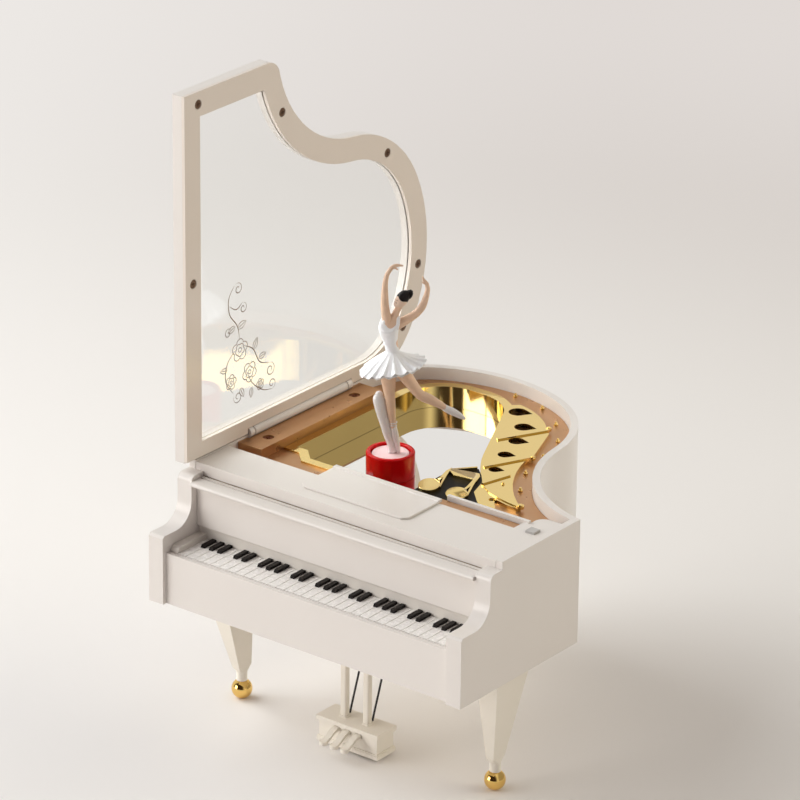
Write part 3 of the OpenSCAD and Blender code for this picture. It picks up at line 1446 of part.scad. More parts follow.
module stop_plunger() {
    color([0.6, 0.58, 0.56]) placed() {
        translate([plunger_at.x - plunger_w / 2, plunger_at.y - plunger_w / 2, plunger_top - cap_t])
            cube([plunger_w, plunger_w, cap_t]);
        translate([plunger_at.x, plunger_at.y, wire_z - 0.5])
            cylinder(h = plunger_top - wire_z, r = stem_r, $fn = 32);
    }
}

spring_wire_r = 0.22;

// Coil that lifts the plunger
module plunger_spring() {
    turns = 3;
    color(steel) placed() translate([plunger_at.x, plunger_at.y, board_top])
        linear_extrude(height = plunger_top - cap_t - board_top, twist = -360 * turns, slices = 20 * turns)
            translate([stem_r + 2 * spring_wire_r, 0]) circle(r = spring_wire_r, $fn = 8);
}

module stop_wire() {
    from = [plunger_at.x, plunger_at.y, wire_z];
    to = [fan_at.x, fan_at.y, wire_z];
    along = (to - from) / norm(to - from);
    color(steel) placed() rod(from + (stem_r + 0.1) * along, to + 0.6 * along, wire_r);
}

case();
bottom_plate();
bottom_screws();
key_bed();
white_keys();
black_keys();
fallboard();
front_board();
music_desk();
soundboard();
well_liner();
mirror_glass();  // mirror
harp_plate();
hitch_pins();
note_panel();
note_ornament();
hinge_cover();
hinge_screws();
hinge_pin();
lid_frame();
lid_bezel();
lid_panel();
lid_screws();
stop_plunger();
plunger_spring();
stop_wire();
leg(0);  // leg_left
leg(1);  // leg_right
leg(2);  // leg_rear
foot(leg_places[0]);  // foot_left
foot(leg_places[1]);  // foot_right
foot(leg_places[2]);  // foot_rear
leg_screws();
lyre_frame();
lyre_rods();
pedals();
drum_cup();
turntable();
spindle();
dancer_body();
dancer_dress();
dancer_tutu();
dancer_hair();
dancer_stand();
bedplate();
movement_screws();
spring_housing();
mainspring();
winding_arbor();
winding_key();
drive_gear();
note_cylinder();
cylinder_bridge();
comb();
comb_screws();
idler_wheel();
governor_bracket();
governor_fan();
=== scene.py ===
"""Dresses the piano-shaped music box: finishes for the turned and moulded parts, the dancer, the harp
trim and the studio."""
import bpy
import bmesh
import numpy as np
from mathutils import Matrix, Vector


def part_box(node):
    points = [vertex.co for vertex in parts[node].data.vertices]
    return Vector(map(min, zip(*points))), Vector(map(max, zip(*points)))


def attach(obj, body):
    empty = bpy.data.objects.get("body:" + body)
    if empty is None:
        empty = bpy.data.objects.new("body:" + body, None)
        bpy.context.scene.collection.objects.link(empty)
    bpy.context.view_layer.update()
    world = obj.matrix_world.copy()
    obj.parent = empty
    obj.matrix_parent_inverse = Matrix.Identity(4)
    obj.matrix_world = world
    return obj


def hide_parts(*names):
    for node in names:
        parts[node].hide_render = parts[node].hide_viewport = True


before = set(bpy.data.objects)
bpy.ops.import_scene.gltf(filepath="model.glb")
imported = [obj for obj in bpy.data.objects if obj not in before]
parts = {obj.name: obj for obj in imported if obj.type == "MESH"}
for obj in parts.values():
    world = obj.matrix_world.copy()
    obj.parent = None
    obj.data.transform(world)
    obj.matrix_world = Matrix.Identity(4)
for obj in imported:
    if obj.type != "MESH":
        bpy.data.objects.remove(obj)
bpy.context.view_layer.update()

MM = 0.001
CASE_TO_ROW = np.array([1.2, -84.35, 0.0])   # the case is drawn from its own middle and cheek front, in mm

# ---------------------------------------------------------------- sizes, in mm in the case's own frame

MIRROR_TOP = 90.7
DRUM = np.array([-24.3, 85.1, MIRROR_TOP])
DRUM_R, DRUM_H = 9.6, 10.0
DISC_R, DISC_H = 7.3, 1.62
DISC_TOP = MIRROR_TOP + DRUM_H - 0.8


# ---------------------------------------------------------------- finishes

def shader(name):
    """An empty material with its shader, output and object coordinates ready."""
    material = bpy.data.materials.new(name)
    material.use_nodes = True
    tree = material.node_tree
    tree.nodes.clear()
    out = tree.nodes.new("ShaderNodeOutputMaterial")
    body = tree.nodes.new("ShaderNodeBsdfPrincipled")
    tree.links.new(body.outputs["BSDF"], out.inputs["Surface"])
    where = tree.nodes.new("ShaderNodeTexCoord")
    return material, tree, body, where.outputs["Object"]


def cloud(tree, where, scale, detail=3.0, stretch=(1, 1, 1)):
    """Noise on object coordinates, stretched along an axis for a brushed grain."""
    mapping = tree.nodes.new("ShaderNodeMapping")
    mapping.inputs["Scale"].default_value = stretch
    tree.links.new(where, mapping.inputs["Vector"])
    noise = tree.nodes.new("ShaderNodeTexNoise")
    noise.inputs["Scale"].default_value = scale
    noise.inputs["Detail"].default_value = detail
    tree.links.new(mapping.outputs["Vector"], noise.inputs["Vector"])
    return noise.outputs["Fac"]


def between(tree, amount, low, high):
    """Maps a 0.3 to 0.7 noise onto a range."""
    span = tree.nodes.new("ShaderNodeMapRange")
    span.inputs["From Min"].default_value = 0.3
    span.inputs["From Max"].default_value = 0.7
    span.inputs["To Min"].default_value = low
    span.inputs["To Max"].default_value = high
    tree.links.new(amount, span.inputs["Value"])
    return span.outputs["Result"]


def finish(name, colour, rough, metal=0.0, coat=0.0, drift=0.03, mottle=60.0, grain=900.0, depth=0.02,
           stretch=(1, 1, 1), wear=0.06, specular=0.5):
    """One rigid finish: a colour that drifts slightly in large patches, roughness that varies by wear,
    and a fine grain in relief."""
    material, tree, body, where = shader(name)
    mix = tree.nodes.new("ShaderNodeMix")
    mix.data_type = "RGBA"
    mix.inputs["A"].default_value = (*[max(c * (1 - drift), 0) for c in colour], 1)
    mix.inputs["B"].default_value = (*[min(c * (1 + drift), 1) for c in colour], 1)
    tree.links.new(between(tree, cloud(tree, where, mottle), 0, 1), mix.inputs["Factor"])
    tree.links.new(mix.outputs["Result"], body.inputs["Base Color"])
    tree.links.new(between(tree, cloud(tree, where, mottle * 4, 4.0), max(rough - wear * rough * 2, 0.01),
                           rough + wear * rough * 4), body.inputs["Roughness"])
    body.inputs["Metallic"].default_value = metal
    body.inputs["Coat Weight"].default_value = coat
    body.inputs["Coat Roughness"].default_value = 0.08
    body.inputs["Specular IOR Level"].default_value = specular
    relief = tree.nodes.new("ShaderNodeBump")
    relief.inputs["Strength"].default_value = 1.0
    relief.inputs["Distance"].default_value = depth * MM
    tree.links.new(cloud(tree, where, grain, 2.0, stretch), relief.inputs["Height"])
    tree.links.new(relief.outputs["Normal"], body.inputs["Normal"])
    return material


def clear_sheet(name):
    """Clear acrylic that bends light, and lets lamp light straight through so that it throws no dark
    shadow."""
    material, tree, body, where = shader(name)
    body.inputs["Base Color"].default_value = (0.97, 0.98, 0.975, 1)
    body.inputs["Transmission Weight"].default_value = 1.0
    body.inputs["IOR"].default_value = 1.45
    body.inputs["Specular IOR Level"].default_value = 0.15
    tree.links.new(between(tree, cloud(tree, where, 90.0), 0.015, 0.04), body.inputs["Roughness"])
    out = next(n for n in tree.nodes if n.type == "OUTPUT_MATERIAL")
    rays = tree.nodes.new("ShaderNodeLightPath")
    through = tree.nodes.new("ShaderNodeBsdfTransparent")
    either = tree.nodes.new("ShaderNodeMixShader")
    tree.links.new(rays.outputs["Is Shadow Ray"], either.inputs["Fac"])
    tree.links.new(body.outputs["BSDF"], either.inputs[1])
    tree.links.new(through.outputs["BSDF"], either.inputs[2])
    tree.links.new(either.outputs["Shader"], out.inputs["Surface"])
    return material


ivory_gloss = finish("ivory_gloss", (0.80, 0.745, 0.70), 0.30, coat=0.2, drift=0.005, mottle=25,
                     grain=420, depth=0.003, wear=0.02)
ivory_warm = finish("ivory_warm", (0.80, 0.71, 0.63), 0.32, coat=0.15, drift=0.005, mottle=25, grain=420,
                    depth=0.003, wear=0.02)
ivory_cream = finish("ivory_cream", (0.87, 0.81, 0.715), 0.40, drift=0.01, mottle=30, grain=1500,
                     depth=0.008, wear=0.03)
ivory_satin = finish("ivory_satin", (0.79, 0.735, 0.67), 0.42, drift=0.008, mottle=30, grain=1500,
                     depth=0.008, wear=0.03)
key_ivory = finish("key_ivory", (0.94, 0.90, 0.86), 0.26, coat=0.2, drift=0.01, mottle=180, grain=700,
                   depth=0.004, wear=0.03)
key_black = finish("key_black", (0.010, 0.007, 0.006), 0.30, drift=0.1, mottle=200, grain=900,
                   depth=0.003, specular=0.12)
copper_satin = finish("copper_satin", (0.58, 0.325, 0.16), 0.30, metal=0.85, drift=0.05, mottle=45,
                      grain=5200, depth=0.012)
gold_bright = finish("gold_bright", (0.93, 0.70, 0.27), 0.10, metal=1.0, drift=0.02, mottle=35, grain=260,
                     depth=0.006, wear=0.04)
gold_polished = finish("gold_polished", (0.90, 0.60, 0.19), 0.07, metal=1.0, drift=0.02, mottle=60,
                       grain=300, depth=0.003)
mirror_face = finish("mirror_face", (0.955, 0.95, 0.94), 0.02, metal=1.0, drift=0.005, mottle=20,
                     grain=120, depth=0.0008)
red_gloss = finish("red_gloss", (0.54, 0.002, 0.003), 0.16, drift=0.03, mottle=80, grain=320, depth=0.004,
                   specular=0.16)
disc_blush = finish("disc_blush", (0.90, 0.63, 0.64), 0.30, coat=0.2, drift=0.02, mottle=120, grain=600,
                    depth=0.006)
plunger_grey = finish("plunger_grey", (0.50, 0.475, 0.455), 0.34, drift=0.05, mottle=160, grain=2400,
                      depth=0.015)
skin_paint = finish("skin_paint", (0.82, 0.57, 0.41), 0.42, drift=0.05, mottle=260, grain=1600, depth=0.010)
face_paint = finish("face_paint", (0.80, 0.60, 0.47), 0.42, drift=0.03, mottle=260, grain=1600, depth=0.006)
lip_paint = finish("lip_paint", (0.42, 0.12, 0.09), 0.40, drift=0.04, mottle=300, grain=1800, depth=0.006)
dress_paint = finish("dress_paint", (0.94, 0.935, 0.95), 0.44, drift=0.02, mottle=220, grain=1900,
                     depth=0.015)
shoe_paint = finish("shoe_paint", (0.86, 0.82, 0.81), 0.30, coat=0.2, drift=0.02, mottle=200, grain=1500,
                    depth=0.008)
hair_paint = finish("hair_paint", (0.012, 0.009, 0.009), 0.34, drift=0.2, mottle=400, grain=2600,
                    depth=0.05, stretch=(1, 1, 0.2), specular=0.2)
panel_black = finish("panel_black", (0.008, 0.006, 0.005), 0.34, drift=0.1, mottle=200, grain=900,
                     depth=0.002, specular=0.06)
rod_black = finish("rod_black", (0.010, 0.010, 0.011), 0.30, drift=0.1, mottle=200, grain=1500, depth=0.01)
screw_copper = finish("screw_copper", (0.34, 0.14, 0.07), 0.30, metal=1.0, drift=0.08, mottle=260,
                      grain=3000, depth=0.01)
screw_steel = finish("screw_steel", (0.20, 0.125, 0.08), 0.36, metal=1.0, drift=0.08, mottle=260,
                     grain=3000, depth=0.012)
brushed_brass = finish("brushed_brass", (0.72, 0.54, 0.28), 0.30, metal=1.0, drift=0.06, mottle=60,
                       grain=900, depth=0.012, stretch=(0.15, 1, 1))
brushed_steel = finish("brushed_steel", (0.58, 0.58, 0.60), 0.28, metal=1.0, drift=0.05, mottle=60,
                       grain=1100, depth=0.010, stretch=(0.15, 1, 1))
blued_steel = finish("blued_steel", (0.16, 0.19, 0.27), 0.26, metal=1.0, drift=0.1, mottle=150,
                     grain=1100, depth=0.008)
print_bronze = finish("print_bronze", (0.30, 0.21, 0.145), 0.45, drift=0.12, mottle=300, grain=2600,
                      depth=0.002)
clear_acrylic = clear_sheet("clear_acrylic")


# ---------------------------------------------------------------- mesh helpers

def to_row(points):
    """Case millimetres to row metres."""
    return (np.asarray(points, float) + CASE_TO_ROW) * MM


def place(name, points, faces, material, body, smooth=40.0, stands_for=()):
    """Puts a surface into a piece: merges the doubled points of seams and poles, points the faces
    outwards and smooths it below an angle."""
    mesh = bpy.data.meshes.new(name)
    mesh.from_pydata(to_row(points).tolist(), [], faces)
    work = bmesh.new()
    work.from_mesh(mesh)
    bmesh.ops.remove_doubles(work, verts=work.verts, dist=2e-6)
    bmesh.ops.dissolve_degenerate(work, edges=work.edges, dist=1e-7)
    bmesh.ops.recalc_face_normals(work, faces=work.faces)
    work.to_mesh(mesh)
    work.free()
    mesh.shade_smooth()
    mesh.set_sharp_from_angle(angle=np.radians(smooth))
    mesh.materials.append(material)
    piece = bpy.data.objects.new(name, mesh)
    bpy.context.scene.collection.objects.link(piece)
    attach(piece, body)
    if stands_for:
        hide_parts(*stands_for)
    return piece


def grid_faces(rows, columns, loop_rows=False, loop_columns=False):
    """Quads over a grid of points, as index rows, closed round either way."""
    i = np.arange(rows if loop_rows else rows - 1)
    j = np.arange(columns if loop_columns else columns - 1)
    i, j = [a.ravel() for a in np.meshgrid(i, j, indexing="ij")]
    down, across = (i + 1) % rows, (j + 1) % columns
    return np.stack([i * columns + j, i * columns + across, down * columns + across, down * columns + j],
                    1).tolist()


def merged(sheets):
    """Several (points, faces) lists as one."""
    starts = np.cumsum([0] + [len(p) for p, _ in sheets])
    return (np.concatenate([p for p, _ in sheets]),
            [[k + int(s) for k in face] for (_, faces), s in zip(sheets, starts) for face in faces])


def along_curve(knots, count):
    """Catmull-Rom curve through the knots: each span is the cubic whose end slopes are half the chord
    of its neighbours. Columns after the first three, such as radii, run with it."""
    knots = np.asarray(knots, float)
    padded = np.vstack([2 * knots[0] - knots[1], knots, 2 * knots[-1] - knots[-2]])
    t = np.linspace(0, len(knots) - 1, count)
    k = np.minimum(t.astype(int), len(knots) - 2)
    u = (t - k)[:, None]
    a, b, c, d = (padded[k + n] for n in range(4))
    return 0.5 * (2 * b + (c - a) * u + (2 * a - 5 * b + 4 * c - d) * u ** 2
                  + (3 * b - a - 3 * c + d) * u ** 3)


def tube(path, wide, deep, normal, around=24, loop=False):
    """Elliptical section carried along a path: point = path + wide cos(v) side + deep sin(v) front,
    where front is the part of normal square to the path and side is square to both."""
    path = np.asarray(path, float)
    run = np.roll(path, -1, 0) - np.roll(path, 1, 0) if loop else np.gradient(path, axis=0)
    run /= np.linalg.norm(run, axis=1)[:, None]
    front = np.asarray(normal, float) - (run @ np.asarray(normal, float))[:, None] * run
    front /= np.linalg.norm(front, axis=1)[:, None]
    side = np.cross(run, front)
    v = np.arange(around) * 2 * np.pi / around
    wide, deep = (np.broadcast_to(np.asarray(q, float), len(path)) for q in (wide, deep))
    points = (path[:, None] + wide[:, None, None] * np.cos(v)[:, None] * side[:, None]
              + deep[:, None, None] * np.sin(v)[:, None] * front[:, None])
    return points.reshape(-1, 3), grid_faces(len(path), around, loop, True)


def rounded_ends(path, radii, ends=(1, 1)):
    """Adds a quarter-circle run-out to a path's ends, so that its radii fall to nothing and the tube
    closes."""
    path, radii = np.asarray(path, float), np.asarray(radii, float)
    a = np.linspace(0, np.pi / 2, 7)[1:]
    for which, end in enumerate(ends):
        if not end:
            continue
        at, by = (0, 1) if which == 0 else (-1, -2)
        out = (path[at] - path[by]) / np.linalg.norm(path[at] - path[by])
        more = path[at] + np.sin(a)[:, None] * radii[at] * end * out
        less = radii[at] * np.maximum(np.cos(a), 1e-6)
        if which == 0:
            path, radii = np.vstack([more[::-1], path]), np.concatenate([less[::-1], radii])
        else:
            path, radii = np.vstack([path, more]), np.concatenate([radii, less])
    return path, radii


def turned(profile, centre, around=96):
    """A profile of (radius, height) turned about an upright axis."""
    profile = np.asarray(profile, float)
    v = np.arange(around) * 2 * np.pi / around
    r, z = profile[:, 0][:, None], profile[:, 1][:, None]
    points = np.stack([r * np.cos(v), r * np.sin(v), z + 0 * v], -1) + np.asarray(centre, float)
    return points.reshape(-1, 3), grid_faces(len(profile), around, False, True)


def fillet(corner, r, start, stop, steps=6):
    """Points of an arc of radius r about a centre, from one angle to another, in degrees."""
    a = np.radians(np.linspace(start, stop, steps))
    return np.stack([corner[0] + r * np.cos(a), corner[1] + r * np.sin(a)], 1)


# ---------------------------------------------------------------- CAD nodes, with softened edges

def soft_edges():
    """Node group that smooths faces and keeps edges sharper than 40 degrees crisp."""
    group = bpy.data.node_groups.new("smooth_by_angle", "GeometryNodeTree")
    group.interface.new_socket("Geometry", in_out="INPUT", socket_type="NodeSocketGeometry")
    group.interface.new_socket("Geometry", in_out="OUTPUT", socket_type="NodeSocketGeometry")
    start, end = group.nodes.new("NodeGroupInput"), group.nodes.new("NodeGroupOutput")
    angle = group.nodes.new("GeometryNodeInputMeshEdgeAngle")
    sharp = group.nodes.new("FunctionNodeCompare")
    sharp.data_type, sharp.operation = "FLOAT", "LESS_THAN"
    sharp.inputs["B"].default_value = np.radians(40)
    faces, edges = (group.nodes.new("GeometryNodeSetShadeSmooth") for _ in range(2))
    faces.domain, edges.domain = "FACE", "EDGE"
    group.links.new(start.outputs[0], faces.inputs["Geometry"])
    group.links.new(faces.outputs["Geometry"], edges.inputs["Geometry"])
    group.links.new(angle.outputs["Unsigned Angle"], sharp.inputs["A"])
    group.links.new(sharp.outputs["Result"], edges.inputs["Shade Smooth"])
    group.links.new(edges.outputs["Geometry"], end.inputs[0])
    return group


smooth_by_angle = soft_edges()


def dress(node, material, edge=0.0, steps=2):
    """A finish for a CAD node, and rounded edges of that radius in mm that leave its flat faces flat."""
    part = parts[node]
    part.data.materials.clear()
    part.data.materials.append(material)
    weld = part.modifiers.new("weld", "WELD")
    weld.merge_threshold = 1e-6
    if edge:
        flat = part.modifiers.new("flat", "DECIMATE")
        flat.decimate_type = "DISSOLVE"
        flat.angle_limit = np.radians(0.6)
        bevel = part.modifiers.new("round", "BEVEL")
        bevel.width = edge * MM
        bevel.segments = steps
        bevel.limit_method = "ANGLE"
        bevel.angle_limit = np.radians(38)
        bevel.use_clamp_overlap = True
    soft = part.modifiers.new("soft", "NODES")
    soft.node_group = smooth_by_angle
    if edge:
        level = part.modifiers.new("level", "WEIGHTED_NORMAL")
        level.keep_sharp = True


dress("case", ivory_gloss, 0.5, 3)
dress("bottom_plate", ivory_satin, 0.2)
dress("key_bed", ivory_satin, 0.25)
dress("white_keys", key_ivory)
dress("black_keys", key_black)
dress("fallboard", ivory_gloss, 0.35, 3)
dress("front_board", ivory_gloss, 0.3, 3)
dress("music_desk", ivory_gloss, 0.3, 3)
dress("soundboard", copper_satin, 0.2)
dress("well_liner", gold_bright, 0.25, 3)
dress("mirror", mirror_face)
dress("harp_plate", gold_bright, 0.15, 3)
dress("note_panel", panel_black, 0.15)
dress("note_ornament", gold_bright, 0.2, 3)
dress("hitch_pins", gold_bright, 0.1)
dress("hinge_cover", copper_satin, 0.35, 3)
dress("hinge_screws", screw_copper)
dress("hinge_pin", brushed_steel)
dress("lid_frame", ivory_gloss, 0.8, 4)
dress("lid_bezel", ivory_warm, 0.35, 3)
dress("lid_panel", clear_acrylic)
dress("lid_screws", screw_steel)
dress("stop_plunger", plunger_grey, 0.2)
dress("plunger_spring", brushed_steel)
dress("stop_wire", brushed_steel)
for side in ("left", "right", "rear"):
    dress("leg_" + side, ivory_cream, 0.35, 3)
dress("leg_screws", brushed_steel)
dress("bottom_screws", brushed_steel)
dress("lyre_frame", ivory_cream, 0.3, 3)
dress("lyre_rods", rod_black)
dress("pedals", ivory_cream, 0.25, 3)
dress("spindle", brushed_steel)
for node in ("bedplate", "drive_gear", "note_cylinder", "cylinder_bridge", "idler_wheel",
             "governor_bracket", "winding_key"):
    dress(node, brushed_brass)
for node in ("movement_screws", "spring_housing", "winding_arbor", "comb", "comb_screws", "governor_fan"):
    dress(node, brushed_steel)
dress("mainspring", blued_steel)


# ---------------------------------------------------------------- feet, drum and disc

BALL_R, BALL_MIDDLE, BALL_TOP = 4.18, 4.05, 8.23

ball_profile = np.vstack([[0, 0.0], fillet((0, BALL_MIDDLE), BALL_R, -75, 90, 40)[:-1], [0, BALL_TOP]])
for side in ("left", "right", "rear"):
    low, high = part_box("foot_" + side)
    middle = np.array([low.x + high.x, low.y + high.y]) / 2 / MM - CASE_TO_ROW[:2]
    place("ball_" + side, *turned(ball_profile, (*middle, 0), 72), gold_polished, "base", 60,
          ("foot_" + side,))

drum_profile = np.vstack([[0, 0], fillet((DRUM_R - 0.3, 0.3), 0.3, -90, 0),
                          fillet((DRUM_R - 0.7, DRUM_H - 0.7), 0.7, 0, 90, 8),
                          fillet((DISC_R + 0.95, DRUM_H - 0.55), 0.55, 90, 180, 7),
                          [[DISC_R + 0.4, 2.2]], [[0, 2.2]]])
place("drum", *turned(drum_profile, DRUM), red_gloss, "base", 50, ("drum_cup",))

disc_profile = np.vstack([[0, 0.0], [DISC_R - 0.2, 0.0], fillet((DISC_R - 0.3, 1.3), 0.3, 0, 90),
                          [5.9, 1.6], fillet((5.6, 1.55), 0.16, 0, 180, 5), [0, 1.6]])
disc_profile[:, 1] = np.minimum(disc_profile[:, 1], DISC_H)
place("disc", *turned(disc_profile, (DRUM[0], DRUM[1], DISC_TOP - DISC_H)), disc_blush, "turntable", 50,
      ("turntable",))


# ---------------------------------------------------------------- the dancer, standing on the disc

TURN = np.radians(38)        # from the case's own right to the figure's
ACROSS = np.array([np.cos(TURN), np.sin(TURN), 0.0])
AWAY = np.array([-np.sin(TURN), np.cos(TURN), 0.0])


def on_disc(points):
    """Figure coordinates (across, away, up) to the case's own frame."""
    points = np.asarray(points, float)
    return (np.array([DRUM[0], DRUM[1], DISC_TOP]) + points[..., :1] * ACROSS + points[..., 1:2] * AWAY
            + points[..., 2:3] * np.array([0, 0, 1.0]))


def limb(knots, flat=1.0, count=48, ends=(1, 1), around=28):
    """A limb: knots are (across, away, up, radius). Its section is a circle, pressed to flat times its
    depth, and its ends are rounded."""
    curve = along_curve(knots, count)
    path, radii = rounded_ends(curve[:, :3], curve[:, 3], ends)
    points, faces = tube(path, radii, radii * flat, (0, -1, 0), around)
    return on_disc(points), faces


left_arm = limb([(-1.6, -0.4, 54.6, 1.9), (-2.2, -0.7, 57.6, 1.8), (-2.7, -0.9, 61.5, 1.6),
                 (-2.8, -1, 65.8, 1.4), (-2.7, -1, 70.4, 1.12), (-2.0, -0.9, 74.2, 0.92),
                 (-0.5, -0.8, 76.9, 0.80)])
left_hand = limb([(-0.8, -0.8, 76.5, 0.78), (0.3, -0.8, 77.5, 0.86), (1.6, -0.8, 78.1, 0.72),
                  (2.8, -0.8, 78.2, 0.5), (3.9, -0.8, 78.0, 0.3)], flat=0.62)
left_thumb = limb([(0.6, -0.9, 77.3, 0.34), (1.4, -1.0, 76.9, 0.3), (2.1, -1.0, 76.5, 0.22)])
right_arm = limb([(0.9, 0.4, 52.8, 2.2), (2.6, 0.7, 53.5, 2.1), (5.6, 1.1, 55.1, 1.8),
                  (9.2, 1.4, 57.5, 1.55), (11.7, 1.4, 60.7, 1.45), (13.0, 1.2, 64.6, 1.18),
                  (13.6, 0.9, 67.9, 0.92), (13.3, 0.8, 69.4, 0.82)])
right_hand = limb([(13.5, 0.8, 68.8, 0.76), (13.2, 0.7, 70.0, 0.84), (12.6, 0.6, 71.0, 0.7),
                   (12.0, 0.5, 72.0, 0.48), (11.7, 0.5, 73.0, 0.28)], flat=0.62)
right_thumb = limb([(12.9, 0.5, 70.0, 0.34), (12.1, 0.4, 70.4, 0.3), (11.5, 0.4, 70.9, 0.22)])
neck = limb([(0.6, 0.1, 55.0, 2.1), (1.1, 0.1, 57.0, 1.5), (1.9, 0.1, 59.2, 1.28), (2.9, 0.1, 61.4, 1.35)])
standing_leg = limb([(-1.0, 0, 35.5, 3.1), (-1.15, 0, 31.6, 3.0), (-0.85, 0, 27.6, 2.55),
                     (-0.5, 0.05, 23.8, 2.05), (-0.25, 0.1, 21.2, 1.95), (0.1, 0.15, 17.6, 1.75),
                     (0.6, 0.1, 13.6, 1.32), (1.2, 0, 9.8, 1.12), (1.5, 0, 8.2, 1.15)], count=64)
raised_leg = limb([(2.4, 0, 37.0, 3.0), (4.5, 0, 33.6, 2.8), (7.5, 0.3, 29.2, 2.4),
                   (10.4, 0.5, 25.1, 2.0), (12.2, 0.6, 23.5, 1.95), (15.0, 0.6, 22.2, 1.9),
                   (18.4, 0.6, 20.3, 1.5), (21.4, 0.6, 18.4, 1.12)], count=64)


def chest():
    """Upper body under the dress: ellipses about a leaning line, widest at the shoulders and
    narrowing to the neck."""
    rows = along_curve([(0.3, 0.0, 43.0, 2.4, 1.9), (-0.7, 0.0, 48.0, 3.0, 2.2),
                        (-0.9, -0.1, 52.0, 3.6, 2.4), (-0.3, 0.0, 55.0, 3.7, 2.1),
                        (0.3, 0.1, 56.7, 2.6, 1.6), (0.8, 0.1, 57.6, 1.5, 1.3)], 40)
    v = np.arange(40) * 2 * np.pi / 40
    ring = np.stack([rows[:, 0:1] + rows[:, 3:4] * np.cos(v), rows[:, 1:2] + rows[:, 4:5] * np.sin(v),
                     rows[:, 2:3] + 0 * v], -1)
    cap_low, cap_high = (np.repeat(rows[k][None, :3], 40, 0)[None] for k in (0, -1))
    ring = np.concatenate([cap_low, ring, cap_high])
    return on_disc(ring.reshape(-1, 3)), grid_faces(len(ring), 40, False, True)


skin = [left_arm, left_hand, left_thumb, right_arm, right_hand, right_thumb, neck, chest(), standing_leg,
        raised_leg]
place("dancer_figure", *merged(skin), skin_paint, "figure", 60, ("dancer_body",))

HEAD = np.array([3.7, -0.1, 63.8])
HEAD_DEEP, HEAD_WIDE, HEAD_TALL = 2.95, 2.45, 3.35      # half sizes
FACE = np.radians(205)       # way the face looks, in the figure's own plan
NOD = np.radians(-14)


def face_frame(points):
    """Head coordinates (forward, left, up) leant and drawn out a little by the nod, turned to the way
    the face looks and set on the neck."""
    forward, left, rise = points[..., 0], points[..., 1], points[..., 2]
    forward, rise = (forward * np.cos(NOD) + rise * np.sin(NOD),
                     forward * np.sin(NOD) + rise * np.cos(NOD))
    across = forward * np.cos(FACE) - left * np.sin(FACE)
    away = forward * np.sin(FACE) + left * np.cos(FACE)
    return HEAD + np.stack([across, away, rise], -1)


def bump(a, b, at_a, at_b, wide_a, wide_b):
    """A bell-shaped rise centred at one place on the head, measured in radians of turn and height."""
    return np.exp(-((a - at_a) / wide_a) ** 2 - ((b - at_b) / wide_b) ** 2)


def head_shape():
    """An egg: long from brow to nape, narrower below. A nose, lips, chin, cheeks and brow rise from it
    and the eyes are set in, each a bell in turn and height."""
    u = np.linspace(-np.pi / 2, np.pi / 2, 61)[:, None]
    v = np.arange(96)[None, :] * 2 * np.pi / 96 - np.pi
    r = 1 - 0.10 * np.clip(-np.sin(u), 0, 1) ** 2
    r = r + 0.17 * bump(v, u, 0, -0.13, 0.10, 0.16) + 0.05 * bump(v, u, 0, -0.42, 0.20, 0.07)
    r = r + 0.09 * bump(v, u, 0, -0.72, 0.26, 0.16) + 0.03 * bump(np.abs(v), u, 0.55, -0.25, 0.25, 0.22)
    r = r - 0.05 * bump(np.abs(v), u, 0.33, 0.07, 0.16, 0.11) + 0.02 * bump(v, u, 0, 0.35, 0.6, 0.16)
    forward = HEAD_DEEP * r * np.cos(u) * np.cos(v)
    left = HEAD_WIDE * r * np.cos(u) * np.sin(v)
    rise = HEAD_TALL * r * np.sin(u) + 0.35 * np.clip(-np.sin(u), 0, 1) * np.cos(v)
    return (on_disc(face_frame(np.stack([forward, left, rise + 0 * v], -1)).reshape(-1, 3)),
            grid_faces(61, 96, False, True))


place("dancer_head", *head_shape(), face_paint, "figure", 70)


def face_line(turn, height, wide, rise, r, out=3.0, count=15):
    """A small painted line on the face: an arc about a place given as turn and height, that sinks or
    rises in its middle."""
    s = np.linspace(-1, 1, count)
    v, u = turn + s * wide, height + rise * (1 - s ** 2)
    base = np.stack([out * np.cos(u) * np.cos(v), out * 0.83 * np.cos(u) * np.sin(v),
                     HEAD_TALL * np.sin(u)], -1)
    path, radii = rounded_ends(base, r * (1 - 0.6 * s ** 2))
    return (on_disc(face_frame(tube(path, radii, radii, (0.3, 0.2, 1), 8)[0])),
            grid_faces(len(path), 8, False, True))


EYES = (-0.34, 0.34)         # turned from the nose
lashes = [face_line(eye, 0.05, 0.13, -0.05, 0.09, 2.88) for eye in EYES]
brows = [face_line(eye, 0.27, 0.16, 0.05, 0.07, 3.02) for eye in EYES]
place("dancer_lashes", *merged(lashes + brows), hair_paint, "figure", 70)
place("dancer_lips", *face_line(0, -0.44, 0.15, -0.03, 0.13, 3.02), lip_paint, "figure", 70)


